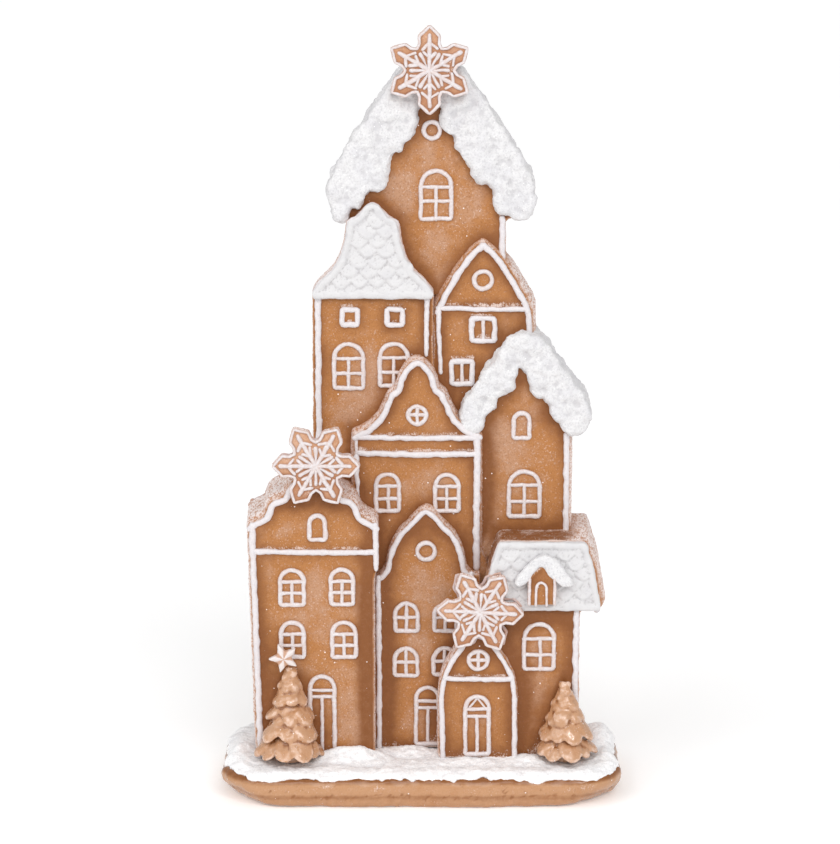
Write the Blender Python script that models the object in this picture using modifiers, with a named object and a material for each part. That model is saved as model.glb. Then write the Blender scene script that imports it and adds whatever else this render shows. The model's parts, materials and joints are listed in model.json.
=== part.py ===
"""Gingerbread village tower: nine gabled house fronts on one oval tray of snow icing.

Metres, +Z up, the fronts face -Y. The origin is the middle of the tray's flat underside.
Every house is a prism whose outline is its gable, a little wider at the back than at the front.
"""

import math
from collections import namedtuple

import bmesh
import bpy
from mathutils import Vector

MM = 0.001
GAP = 0.3 * MM  # clearance between neighbouring solids

# Tray and its snow
TRAY_WIDTH = 213 * MM
TRAY_DEPTH = 98 * MM
TRAY_CORNER = 27 * MM
TRAY_FOOT_CORNER = 42 * MM
TRAY_FOOT_INSET = 4 * MM  # how much further in the underside lies at each end
TRAY_HEIGHT = 15.7 * MM
TRAY_GROOVE_Z = 6.2 * MM
TRAY_GROOVE = 1.1 * MM
SNOW_TOP = 19.0 * MM
FLOOR = SNOW_TOP + GAP  # where the houses stand

# Where each house stands: its middle line, its front face and its back face
Place = namedtuple("Place", "centre front back")
TOP = Place(5.2 * MM, 14 * MM, 35 * MM)
UPPER_LEFT = Place(-25.6 * MM, 8 * MM, 40 * MM)
UPPER_RIGHT = Place(32.35 * MM, 10 * MM, 38 * MM)
BELL_GABLE = Place(-2.3 * MM, 0 * MM, 30 * MM)
TOWER = Place(54.9 * MM, 4 * MM, 39 * MM)
FRONT_LEFT = Place(-56.75 * MM, -22.3 * MM, 20 * MM)
FRONT_MIDDLE = Place(2.4 * MM, -7.3 * MM, 20 * MM)
FRONT_RIGHT = Place(63.2 * MM, -20.7 * MM, 44 * MM)
CHAPEL = Place(29.9 * MM, -24 * MM, -7.6 * MM)
DORMER_X = 63.1 * MM
DORMER_DEPTH = 6 * MM
FLARE = 2.5 * MM  # how much further out a house stands at its back
FRONT_LEFT_LEAN = 3.2 * MM  # how much further in its outer wall stands at the foot
TOWER_FLOOR = 112 * MM  # the tower stands on the houses in front of it
TILES_THICK = 3 * MM
UPPER_LEFT_RIM = 0.9 * MM  # brown edge left round the white tiles
UPPER_LEFT_ROUND = 9 * MM  # half width of its roof's round top

# Snow on the roofs
TOP_SNOW_OUT = 5 * MM  # how far it reaches before and behind its house
TOWER_SNOW_OUT = 5 * MM
TOWER_SNOW_BACK = 4 * MM
DORMER_SNOW_OUT = 1.6 * MM
DRIP_DEPTH = 5 * MM

# Snowflake biscuits
FLAKE_TIP = 23.8 * MM
FLAKE_SHOULDER = 18.2 * MM
FLAKE_NECK = 14.8 * MM
FLAKE_VALLEY = 13 * MM
FLAKE_ARM_HALF = 5.8 * MM
FLAKE_NECK_HALF = 5.1 * MM
FLAKE_THICK = 5 * MM
FLAKE_EDGE = 1 * MM
FLAKE_OUT = 3 * MM  # how far its middle stands before the wall that it leans on
TOP_FLAKE = (4.1 * MM, 5.6 * MM, 380.6 * MM)
LEFT_FLAKE = (-54.8 * MM, FRONT_LEFT.front - FLAKE_OUT, 178.8 * MM)
MIDDLE_FLAKE = (30.8 * MM, CHAPEL.front - FLAKE_OUT, 101 * MM)

# Fir trees and the star on the left one
TREE_LOBES = 9
TREE_SEGMENTS = 36
LEFT_TREE = (-69.4 * MM, -25.5 * MM)
LEFT_TREE_TIP = 67.4 * MM
RIGHT_TREE = (76 * MM, -24.5 * MM)
RIGHT_TREE_TIP = 57.8 * MM
STAR_TIP = 8.2 * MM
STAR_INNER = 3.9 * MM
STAR_THICK = 2.6 * MM
STAR_RIDGE = 1.8 * MM
STAR_MIDDLE = (-72.4 * MM, -29.5 * MM, 76.2 * MM)
STAR_TURN = 22  # degrees

BISCUIT_COLOUR = (0.52, 0.26, 0.11)
TREE_COLOUR = (0.60, 0.33, 0.16)
SNOW_COLOUR = (0.86, 0.86, 0.88)


def clear_scene():
    for thing in list(bpy.data.objects):
        bpy.data.objects.remove(thing, do_unlink=True)


def collection(name):
    made = bpy.data.collections.new(name)
    bpy.context.scene.collection.children.link(made)
    return made


def material(name, colour, roughness):
    made = bpy.data.materials.new(name)
    made.use_nodes = True
    shader = made.node_tree.nodes["Principled BSDF"]
    shader.inputs["Base Color"].default_value = (*colour, 1)
    shader.inputs["Roughness"].default_value = roughness
    shader.inputs["Metallic"].default_value = 0
    return made


def add(name, bm, target, colour, roughness):
    """Turns bm into an object of its own, with a material of its own."""
    bmesh.ops.recalc_face_normals(bm, faces=bm.faces)
    mesh = bpy.data.meshes.new(name)
    bm.to_mesh(mesh)
    bm.free()
    mesh.materials.append(material(name, colour, roughness))
    made = bpy.data.objects.new(name, mesh)
    target.objects.link(made)
    return made


def between(p, q, r, s, t):
    """The value at t on a soft curve from q to r, with p before them and s after."""
    straight = 2 * q + (r - p) * t
    bent = (2 * p - 5 * q + 4 * r - s) * t**2
    turned = (3 * q - p - 3 * r + s) * t**3
    return 0.5 * (straight + bent + turned)


def smooth(points, steps=3):
    """A soft curve through the points, with the given number of steps between two of them."""
    ends = [points[0], *points, points[-1]]
    curve = []
    for near in zip(ends, ends[1:], ends[2:], ends[3:]):
        for step in range(steps):
            curve.append(tuple(between(*axis, step / steps) for axis in zip(*near)))
    return [*curve, points[-1]]


def mirrored(centre, half):
    """A closed outline from its left half: (distance from the centre line, height), foot to apex."""
    left = [(centre - x, z) for x, z in half]
    right = [(centre + x, z) for x, z in reversed(half) if x > 0]
    return left + right


def grown(outline, side, up, floor):
    """The outline grown by one margin sideways and another upwards, standing on the same floor."""
    low, high = min(x for x, _ in outline), max(x for x, _ in outline)
    top = max(z for _, z in outline)
    centre, half = (low + high) / 2, (high - low) / 2
    wider, taller = 1 + side / half, 1 + up / (top - floor)
    return [(centre + (x - centre) * wider, floor + (z - floor) * taller) for x, z in outline]


def prism(outline, front, back, flare=0.0, rise=0.0):
    """A solid from its outline in X and Z, from the front face to the wider and higher back face."""
    floor = min(z for _, z in outline)
    bm = bmesh.new()
    face = bm.faces.new([bm.verts.new((x, front, z)) for x, z in outline])
    made = bmesh.ops.extrude_face_region(bm, geom=[face])["geom"]
    far = [v for v in made if isinstance(v, bmesh.types.BMVert)]
    for vertex, (x, z) in zip(far, grown([(v.co.x, v.co.z) for v in far], flare, rise, floor)):
        vertex.co = (x, back, z)
    sides = [f for f in bm.faces if len(f.verts) == 4 and abs(f.normal.y) < 0.99]
    bmesh.ops.triangulate(bm, faces=sides)
    return bm


def make_cutter(made):
    made.hide_render = True
    made.display_type = "WIRE"
    return made


class House:
    """A gabled house: its outline, its depth, and the cutter that makes room for it."""

    def __init__(self, name, place, outline, flare=FLARE, rise=FLARE):
        self.name = name
        self.place = place
        self.outline = outline
        self.flare = flare
        self.rise = rise

    def build(self, target, colour=BISCUIT_COLOUR, roughness=0.75):
        bm = prism(self.outline, self.place.front, self.place.back, self.flare, self.rise)
        self.body = add(self.name, bm, target, colour, roughness)
        return self.body

    def without_eaves(self):
        """The same house with its walls as far out as its eaves."""
        low = min(x for x, _ in self.outline)
        high = max(x for x, _ in self.outline)
        eave = min(z for x, z in self.outline if x == high)
        spread = []
        for x, z in self.outline:
            if z < eave:
                x = high if 2 * x > low + high else low
            spread.append((x, z))
        return House(self.name + "_full", self.place, spread, self.flare, self.rise)

    def cutter(self, target):
        """The same solid, larger by the clearance on every side and open to the ground."""
        floor = min(z for _, z in self.outline)
        larger = grown(self.outline, 2 * GAP, 2 * GAP, floor)
        room = [(x, z if z > floor else z - 2 * GAP) for x, z in larger]
        bm = prism(room, self.place.front - GAP, self.place.back + GAP, self.flare, self.rise)
        return make_cutter(add(self.name + "_room", bm, target, BISCUIT_COLOUR, 1))


def cut(body, cutters):
    for cutter in cutters:
        step = body.modifiers.new(cutter.name, "BOOLEAN")
        step.operation = "DIFFERENCE"
        step.solver = "EXACT"
        step.object = cutter


def walls(centre, half_width, gable, floor=FLOOR):
    """A house's outline: straight walls from the floor, then the gable's own points."""
    return mirrored(centre, [(half_width, floor), *gable])


def in_mm(points):
    return [(x * MM, z * MM) for x, z in points]


def tray_outline(inset, count=96, foot=0.0):
    """Points round the tray's rounded rectangle, moved inwards by inset. foot 1 is its rounder underside."""
    radius = TRAY_CORNER + (TRAY_FOOT_CORNER - TRAY_CORNER) * foot
    half_x, half_y = TRAY_WIDTH / 2 - radius - TRAY_FOOT_INSET * foot, TRAY_DEPTH / 2 - radius
    radius -= inset
    points = []
    per_corner = count // 4
    for corner in range(4):
        middle_x = half_x if corner in (0, 3) else -half_x
        middle_y = half_y if corner in (0, 1) else -half_y
        for step in range(per_corner):
            angle = math.radians(90 * (corner + step / (per_corner - 1)))
            points.append((middle_x + radius * math.cos(angle), middle_y + radius * math.sin(angle)))
    return points


def loft(rings):
    """A closed solid through rings of equal point counts, capped at both ends."""
    bm = bmesh.new()
    rows = [[bm.verts.new(point) for point in ring] for ring in rings]
    count = len(rows[0])
    for low, high in zip(rows, rows[1:]):
        for i in range(count):
            j = (i + 1) % count
            bm.faces.new((low[i], low[j], high[j], high[i]))
    bm.faces.new(list(reversed(rows[0])))
    bm.faces.new(rows[-1])
    return bm


def tray(target):
    levels = [
        (0, 2.6 * MM, 1),
        (1.6 * MM, 0.8 * MM, 0.8),
        (TRAY_GROOVE_Z - 1.6 * MM, 0.1 * MM, 0.45),
        (TRAY_GROOVE_Z, TRAY_GROOVE, 0.3),
        (TRAY_GROOVE_Z + 1.6 * MM, 0, 0.15),
        (TRAY_HEIGHT - 4.5 * MM, 0, 0),
        (TRAY_HEIGHT - 1.6 * MM, 0.8 * MM, 0),
        (TRAY_HEIGHT, 2.8 * MM, 0),
    ]
    rings = [[(x, y, z) for x, y in tray_outline(inset, foot=foot)] for z, inset, foot in levels]
    return add("tray", loft(rings), target, BISCUIT_COLOUR, 0.75)


def wavy_edge(angle):
    """How far the snow's edge wanders in and out round the tray."""
    return 1.0 * MM * math.sin(5 * angle) + 0.6 * MM * math.sin(11 * angle + 1)


def tray_snow(target):
    """Snow icing over the tray, thin at its wavy edge and level where the houses stand."""
    bottom = TRAY_HEIGHT + GAP
    levels = [
        (bottom, 3.6 * MM),
        (bottom + 1.4 * MM, 4 * MM),
        (bottom + 2.2 * MM, 7 * MM),
        (SNOW_TOP, 11 * MM),
    ]
    rings = []
    for z, inset in levels:
        ring = []
        for x, y in tray_outline(inset):
            pull = wavy_edge(math.atan2(y, x))
            away = Vector((x, y)).normalized() * pull
            ring.append((x + away.x, y + away.y, z))
        rings.append(ring)
    return add("tray_snow", loft(rings), target, SNOW_COLOUR, 0.85)


def scalloped(start, end, drips, depth):
    """Points from start to end with rounded drips that hang below the line."""
    steps = 4 * drips
    points = []
    for i in range(steps + 1):
        t = i / steps
        drop = depth * abs(math.sin(math.pi * drips * t)) ** 0.7
        points.append((start[0] + (end[0] - start[0]) * t, start[1] + (end[1] - start[1]) * t - drop))
    return points


class SnowRoof:
    """Thick snow over a gable: soft outside, hanging drips inside, one outline right through."""

    def __init__(self, name, centre, outer, front, back):
        self.name = name
        self.centre = centre
        self.outside = smooth(outer, 3)
        self.front = front
        self.back = back

    def build(self, target, inner_eave, inner_apex, drips, drip_depth):
        inside = scalloped(inner_eave, (0, inner_apex), drips, drip_depth)
        ring = mirrored(self.centre, inside[::-1] + self.outside)
        return add(self.name, prism(ring, self.front, self.back), target, SNOW_COLOUR, 0.85)

    def cutter(self, target):
        """The snow and all that it covers, larger by the clearance."""
        ring = mirrored(self.centre, self.outside)
        middle = (self.outside[0][1] + self.outside[-1][1]) / 2
        bm = prism(grown(ring, 3 * GAP, 3 * GAP, middle), self.front - GAP, self.back + GAP)
        return make_cutter(add(self.name + "_room", bm, target, SNOW_COLOUR, 1))


def snowflake(name, centre, turn, target):
    """A six-armed biscuit with pointed arms and rounded edges, standing upright."""
    corners = []
    for arm in range(6):
        along = math.radians(60 * arm + turn)
        across = along + math.pi / 2
        for reach, side in (
            (FLAKE_NECK, -FLAKE_NECK_HALF),
            (FLAKE_SHOULDER, -FLAKE_ARM_HALF),
            (FLAKE_TIP, 0),
            (FLAKE_SHOULDER, FLAKE_ARM_HALF),
            (FLAKE_NECK, FLAKE_NECK_HALF),
        ):
            x = reach * math.cos(along) + side * math.cos(across)
            z = reach * math.sin(along) + side * math.sin(across)
            corners.append((centre[0] + x, centre[2] + z))
        valley = along + math.radians(30)
        x, z = FLAKE_VALLEY * math.cos(valley), FLAKE_VALLEY * math.sin(valley)
        corners.append((centre[0] + x, centre[2] + z))
    bm = prism(corners, centre[1] - FLAKE_THICK / 2, centre[1] + FLAKE_THICK / 2)
    made = add(name, bm, target, BISCUIT_COLOUR, 0.7)
    edge = made.modifiers.new("rounded_edge", "BEVEL")
    edge.width = FLAKE_EDGE
    edge.segments = 1
    edge.limit_method = "ANGLE"
    edge.angle_limit = math.radians(60)
    return made


def fir_tree(name, centre, base_z, tip_z, tiers, target):
    """A fir: scalloped tiers, each a skirt that hangs over the one below. tiers are (height, radius)."""
    rings = []

    def ring(z, radius, lobe):
        points = []
        for i in range(TREE_SEGMENTS):
            angle = 2 * math.pi * i / TREE_SEGMENTS
            reach = radius * (1 + lobe * math.cos(TREE_LOBES * angle))
            points.append((centre[0] + reach * math.cos(angle), centre[1] + reach * math.sin(angle), z))
        rings.append(points)

    for number, (z, radius) in enumerate(tiers):
        above = tiers[number + 1][0] if number + 1 < len(tiers) else tip_z
        if number == 0:
            ring(base_z, radius * 0.8, 0)
        ring(z, radius, 0.06)
        ring(z + 0.45 * (above - z), radius * 0.78, 0.06)
        if number + 1 < len(tiers):
            ring(above, radius * 0.45, 0)
    ring(tip_z, 0.7 * MM, 0)
    return add(name, loft(rings), target, TREE_COLOUR, 0.5)


def star(centre, turn, target):
    """A five-pointed star with a raised ridge to every point."""
    corners = []
    for i in range(10):
        angle = math.radians(90 + turn + 36 * i)
        reach = STAR_INNER if i % 2 else STAR_TIP
        corners.append((centre[0] + reach * math.cos(angle), centre[2] + reach * math.sin(angle)))
    bm = prism(corners, centre[1] - STAR_THICK / 2, centre[1] + STAR_THICK / 2)
    bm.normal_update()
    faces = [f for f in bm.faces if abs(f.normal.y) > 0.99]
    for point in bmesh.ops.poke(bm, faces=faces)["verts"]:
        point.co.y += math.copysign(STAR_RIDGE, point.co.y - centre[1])
    return add("star", bm, target, BISCUIT_COLOUR, 0.5)


def top_house():
    half = [(39.2, 262), (39.2, 302.5), (46.2, 303.5), (46.2, 307), (22, 343), (0, 374)]
    return House("house_top", TOP, mirrored(TOP.centre, in_mm(half)), flare=0, rise=0)


def bell_roof(rim=0.0):
    """The curved roof line shared by the upper left house and its tiles, grown by a rim."""
    steep = [(30.9, 266), (27.4, 270.8), (21, 276.8), (17, 283.3), (14.2, 292.3), (12.9, 302), (8.4, 304.6)]
    round_top = [(5.4, 307.8), (3.4, 310.8), (0, 312.2)]
    wide = [(x + rim, z + 0.6 * rim) for x, z in in_mm(steep)]
    return wide + [(x * (1 + rim / UPPER_LEFT_ROUND), z + 0.6 * rim) for x, z in in_mm(round_top)]


def upper_left_house():
    outline = walls(UPPER_LEFT.centre, 30.9 * MM, bell_roof(UPPER_LEFT_RIM))
    return House("house_upper_left", UPPER_LEFT, outline, flare=1.6 * MM, rise=1 * MM)


def tiles_before(house_name, place, outline):
    """A slab of icing tiles on the front face of a house."""
    on_front = Place(place.centre, place.front - TILES_THICK, place.front - GAP)
    return House(house_name, on_front, outline, flare=0, rise=0)


def upper_left_tiles():
    outline = mirrored(UPPER_LEFT.centre, [(31.2 * MM, 261.6 * MM), *bell_roof()])
    return tiles_before("tiles_upper_left", UPPER_LEFT, outline)


def upper_right_house():
    gable = [(25.8, 254.5), (24.6, 258), (20.8, 265), (16.5, 273), (12.5, 279), (5.6, 287.6), (0, 292)]
    outline = walls(UPPER_RIGHT.centre, 25.8 * MM, smooth(in_mm(gable), 2))
    return House("house_upper_right", UPPER_RIGHT, outline, flare=3.4 * MM, rise=3 * MM)


def bell_gable_house():
    foot = [(33.6, 190.2), (27, 193.4), (20.8, 199), (17, 206.4), (14.6, 212.2), (11.2, 214.6)]
    tip = [(9.9, 219.6), (7.2, 225), (3.4, 229.2), (0, 230.4)]
    outline = walls(BELL_GABLE.centre, 33.6 * MM, smooth(in_mm(foot + tip), 2))
    return House("house_bell_gable", BELL_GABLE, outline)


def tower_house():
    gable = [(23.9, 190), (27.5, 190.8), (27.5, 194), (0, 233)]
    return House("house_tower", TOWER, walls(TOWER.centre, 23.9 * MM, in_mm(gable), TOWER_FLOOR), rise=0)


def front_left_house():
    foot = [(33.9, 145.6), (30, 148.2), (25.4, 150.6), (23.4, 156.2), (20.2, 159.6), (15.4, 161)]
    tip = [(12.8, 165.8), (7.5, 171.5), (0, 174)]
    outline = walls(FRONT_LEFT.centre, 33.9 * MM, smooth(in_mm(foot + tip), 2))
    outline[0] = (outline[0][0] + FRONT_LEFT_LEAN, outline[0][1])
    return House("house_front_left", FRONT_LEFT, outline, flare=1.2 * MM, rise=4 * MM)


def front_middle_house():
    foot = [(25, 114.8), (21.8, 118.6), (20.5, 124.8), (18.5, 131.4), (14.8, 138)]
    tip = [(10.2, 142.6), (6.6, 146.8), (3.2, 150.2), (0, 151.4)]
    outline = walls(FRONT_MIDDLE.centre, 25 * MM, smooth(in_mm(foot + tip), 2))
    return House("house_front_middle", FRONT_MIDDLE, outline, flare=0)


def front_right_house():
    """The house with the steep tiled roof, which stands out past its right wall."""
    left = [(32, 19.3), (32, 99.7), (32.4, 103.6), (35.8, 122), (40.8, 137.4)]
    right = [(86, 137.4), (91.2, 122), (94.4, 103.6), (94.4, 100), (83.6, 99.7), (83.6, 19.3)]
    return House("house_front_right", FRONT_RIGHT, in_mm(left + right), flare=5 * MM, rise=0)


def front_right_tiles():
    left = [(32.8, 100.2), (32.4, 103.6), (35.8, 122), (40.8, 137.4)]
    right = [(85.6, 137), (90.8, 122), (94, 103.6), (94, 100.2)]
    return tiles_before("tiles_front_right", FRONT_RIGHT, in_mm(left + right))


def chapel_house():
    shoulder = [(21.3, 51), (20.9, 58), (19.6, 64.4), (17.1, 70.4), (14, 75.8), (11, 80)]
    tip = [(7.4, 85), (0, 89)]
    outline = walls(CHAPEL.centre, 21.3 * MM, smooth(in_mm(shoulder + tip), 2))
    return House("chapel", CHAPEL, outline, flare=0, rise=0)


def dormer_house(tiles):
    on_tiles = Place(DORMER_X, tiles.place.front - DORMER_DEPTH, tiles.place.front - GAP)
    half = [(7.6, 104.6), (7.6, 119), (0, 127.4)]
    return House("dormer", on_tiles, mirrored(DORMER_X, in_mm(half)), flare=0, rise=0)


def village(target):
    """Builds every house, and returns them by name."""
    tiles = [upper_left_tiles(), front_right_tiles()]
    biscuit = [
        top_house(),
        upper_left_house(),
        upper_right_house(),
        bell_gable_house(),
        tower_house(),
        front_left_house(),
        front_middle_house(),
        front_right_house(),
        chapel_house(),
        dormer_house(tiles[1]),
    ]
    for house in biscuit:
        house.build(target)
    for slab in tiles:
        slab.build(target, SNOW_COLOUR, 0.6)
    return {house.name: house for house in biscuit + tiles}


def top_snow():
    eave = [(44.5, 302), (50, 304.5), (53.4, 312), (53, 321)]
    slope = [(48, 332), (35, 353), (20.5, 374), (9, 385), (0, 388)]
    front, back = TOP.front - TOP_SNOW_OUT, TOP.back + TOP_SNOW_OUT
    return SnowRoof("snow_roof_top", TOP.centre, in_mm(eave + slope), front, back)


def tower_snow():
    eave = [(27, 189.6), (31.6, 191.8), (34.3, 199), (32.2, 207)]
    slope = [(26.6, 215.6), (17, 228), (8.8, 239.4), (0, 243.6)]
    front, back = TOWER.front - TOWER_SNOW_OUT, TOWER.back + TOWER_SNOW_BACK
    return SnowRoof("snow_roof_tower", TOWER.centre, in_mm(eave + slope), front, back)


def dormer_snow(dormer):
    outer = [(12.6, 115.6), (14.8, 117.4), (12.4, 121.6), (5.5, 129.4), (0, 131.4)]
    front = dormer.place.front - DORMER_SNOW_OUT
    return SnowRoof("snow_roof_dormer", 64 * MM, in_mm(outer), front, dormer.place.back)


def main():
    clear_scene()
    parts = collection("gingerbread_house")
    cutters = collection("cutters")

    tray(parts)
    tray_snow(parts)
    houses = village(parts)

    snow_top = top_snow().build(parts, (43 * MM, 309 * MM), 366 * MM, 6, DRIP_DEPTH)
    tower_cap = tower_snow()
    snow_tower = tower_cap.build(parts, (24.5 * MM, 197.5 * MM), 226 * MM, 4, DRIP_DEPTH)
    snow_dormer = dormer_snow(houses["dormer"]).build(parts, (8.4 * MM, 119.3 * MM), 127.9 * MM, 1, 0)

    snowflake("snowflake_top", TOP_FLAKE, 90, parts)
    snowflake("snowflake_left", LEFT_FLAKE, 0, parts)
    snowflake("snowflake_middle", MIDDLE_FLAKE, -3, parts)

    left_tiers = in_mm([(22.5, 18.6), (31, 16.8), (40.5, 13.6), (50, 10), (58, 7)])
    right_tiers = in_mm([(22, 17.4), (30.5, 13.6), (39, 10.4), (47.5, 7.4)])
    left_tree = fir_tree("fir_tree_left", LEFT_TREE, FLOOR, LEFT_TREE_TIP, left_tiers, parts)
    right_tree = fir_tree("fir_tree_right", RIGHT_TREE, FLOOR, RIGHT_TREE_TIP, right_tiers, parts)
    star(STAR_MIDDLE, STAR_TURN, parts)

    rooms = {name: house.cutter(cutters) for name, house in houses.items()}
    for name in ("house_top", "house_tower"):
        rooms[name + "_full"] = houses[name].without_eaves().cutter(cutters)
    rooms["snow_roof_tower"] = tower_cap.cutter(cutters)

    def make_room(body, *names):
        cut(body, [rooms[name] for name in names])

    make_room(houses["house_top"].body, "house_upper_left", "house_upper_right")
    make_room(houses["house_upper_left"].body, "house_bell_gable", "house_front_left")
    make_room(houses["house_upper_right"].body, "house_upper_left", "house_bell_gable", "house_tower")
    make_room(houses["house_upper_right"].body, "house_front_right", "snow_roof_tower")
    make_room(houses["house_front_middle"].body, "house_front_left", "chapel")
    make_room(houses["house_bell_gable"].body, "house_front_left", "house_front_middle")
    make_room(houses["house_tower"].body, "house_bell_gable", "house_front_right")
    make_room(houses["house_front_right"].body, "chapel", "house_bell_gable")
    make_room(snow_top, "house_top_full", "house_upper_left")
    make_room(snow_tower, "house_tower_full", "house_bell_gable")
    make_room(snow_dormer, "dormer")
    make_room(left_tree, "house_front_left")
    make_room(right_tree, "house_front_right")


main()
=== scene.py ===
"""Gingerbread village tower: the finish of every surface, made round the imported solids.

Metres, +Z up, the fronts face -Y. Shapes on a house front are given in millimetres, as the distance
from the house's middle line and the height above the table.
"""

import json
import math
import random

import bmesh
import bpy
import numpy as np
from bpy.props import FloatProperty, FloatVectorProperty, IntProperty, PointerProperty
from mathutils import Matrix, Vector, noise
from mathutils.bvhtree import BVHTree
from mathutils.kdtree import KDTree

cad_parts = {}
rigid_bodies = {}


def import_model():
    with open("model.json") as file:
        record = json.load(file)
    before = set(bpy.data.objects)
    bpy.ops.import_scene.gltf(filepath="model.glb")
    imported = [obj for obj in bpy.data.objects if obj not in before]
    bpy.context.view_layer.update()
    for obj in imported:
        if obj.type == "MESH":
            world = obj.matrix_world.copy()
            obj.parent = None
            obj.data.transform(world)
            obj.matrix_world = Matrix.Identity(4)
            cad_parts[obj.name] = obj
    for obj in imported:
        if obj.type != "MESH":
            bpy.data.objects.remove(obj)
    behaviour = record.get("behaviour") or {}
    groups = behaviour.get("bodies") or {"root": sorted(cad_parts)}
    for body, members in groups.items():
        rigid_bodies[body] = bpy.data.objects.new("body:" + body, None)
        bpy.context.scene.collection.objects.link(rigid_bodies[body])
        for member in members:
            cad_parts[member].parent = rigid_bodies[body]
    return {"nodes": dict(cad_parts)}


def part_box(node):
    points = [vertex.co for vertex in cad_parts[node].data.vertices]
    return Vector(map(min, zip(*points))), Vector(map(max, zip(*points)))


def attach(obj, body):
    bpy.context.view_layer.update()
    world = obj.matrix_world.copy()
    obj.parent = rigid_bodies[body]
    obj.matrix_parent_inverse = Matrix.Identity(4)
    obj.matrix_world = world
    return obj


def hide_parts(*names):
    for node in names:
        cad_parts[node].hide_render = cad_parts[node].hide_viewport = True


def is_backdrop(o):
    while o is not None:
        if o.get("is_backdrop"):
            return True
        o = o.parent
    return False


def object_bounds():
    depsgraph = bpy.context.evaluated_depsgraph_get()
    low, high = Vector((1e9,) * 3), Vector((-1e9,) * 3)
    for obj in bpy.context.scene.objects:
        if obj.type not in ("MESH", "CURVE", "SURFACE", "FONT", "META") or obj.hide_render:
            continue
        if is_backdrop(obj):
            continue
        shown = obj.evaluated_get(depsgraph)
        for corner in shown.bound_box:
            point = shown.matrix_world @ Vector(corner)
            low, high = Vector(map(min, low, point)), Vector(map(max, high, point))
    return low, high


bl_info = {
    "name": "Gingerbread Village Tower",
    "version": (1, 0, 0),
    "blender": (4, 5, 0),
    "location": "3D View > Sidebar > Gingerbread",
    "description": "Bakes and ices a tall stack of gingerbread house fronts round its packed solids",
    "category": "Add Mesh",
}

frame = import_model()

MM = 0.001
FRONT = Vector((0, -1, 0))
BACK = Vector((0, 1, 0))
FLOOR_MM = 19.3  # where the houses stand on the snow


# ---------------------------------------------------------------- settings

class BiscuitSettings(bpy.types.PropertyGroup):
    """Sizes and colours of the baked pieces."""

    grid: FloatProperty(
        name="Grid", description="Spacing of a house's surface points", default=1.4 * MM, unit="LENGTH"
    )
    fine_grid: FloatProperty(
        name="Fine grid", description="Spacing on flakes and trees", default=0.72 * MM, unit="LENGTH"
    )
    dents: FloatProperty(
        name="Dents", description="Depth of the soft unevenness", default=0.9 * MM, unit="LENGTH"
    )
    light: FloatVectorProperty(
        name="Light", description="Middle of a wall", default=(0.48, 0.260, 0.150), subtype="COLOR"
    )
    brown: FloatVectorProperty(
        name="Brown", description="Most of a wall", default=(0.43, 0.178, 0.052), subtype="COLOR"
    )
    # Also the colour of painted shade in hollows and next to other pieces.
    dark: FloatVectorProperty(
        name="Dark", description="Beside icing and in corners", default=(0.215, 0.070, 0.014), subtype="COLOR"
    )
    # Also the colour of the painted highlight along the tray's bulge.
    dust: FloatVectorProperty(
        name="Dust", description="Sugar dust", default=(0.76, 0.62, 0.56), subtype="COLOR"
    )
    tree: FloatVectorProperty(
        name="Tree", description="Glazed fir trees", default=(0.53, 0.305, 0.18), subtype="COLOR"
    )


class IcingSettings(bpy.types.PropertyGroup):
    """Sizes and colours of piped icing and snow."""

    line: FloatProperty(
        name="Line", description="Width of the lines round a front", default=3.4 * MM, unit="LENGTH"
    )
    window: FloatProperty(
        name="Window", description="Width of a window's outline", default=2.5 * MM, unit="LENGTH"
    )
    bar: FloatProperty(
        name="Bar", description="Width of a window's bars", default=2.05 * MM, unit="LENGTH"
    )
    height: FloatProperty(
        name="Height", description="Height of a line for its width", default=0.42, subtype="FACTOR"
    )
    step: FloatProperty(
        name="Step", description="Spacing of points along a line", default=0.95 * MM, unit="LENGTH"
    )
    white: FloatVectorProperty(
        name="White", description="Piped icing", default=(0.735, 0.705, 0.72), subtype="COLOR"
    )
    # Used where the icing meets the biscuit, partly as painted shade.
    foot: FloatVectorProperty(
        name="Foot", description="Icing beside the biscuit", default=(0.56, 0.44, 0.42), subtype="COLOR"
    )
    snow: FloatVectorProperty(
        name="Snow", description="Snow icing on the roofs", default=(0.755, 0.745, 0.75), subtype="COLOR"
    )
    drift: FloatVectorProperty(
        name="Drift", description="Snow icing on the tray", default=(0.97, 0.965, 0.97), subtype="COLOR"
    )
    snow_grid: FloatProperty(
        name="Snow grid", description="Spacing of a snow roof's points", default=0.9 * MM, unit="LENGTH"
    )
    lumps: FloatProperty(
        name="Lumps", description="Depth of the snow's lumps", default=3.2 * MM, unit="LENGTH"
    )


class SugarSettings(bpy.types.PropertyGroup):
    """Loose sugar crystals on the biscuit."""

    count: IntProperty(name="Count", description="Number of crystals", default=2600, min=0)
    size: FloatProperty(
        name="Size", description="Width of a large crystal", default=0.46 * MM, unit="LENGTH"
    )
    seed: IntProperty(name="Seed", description="Which scatter is used", default=12)


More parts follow.
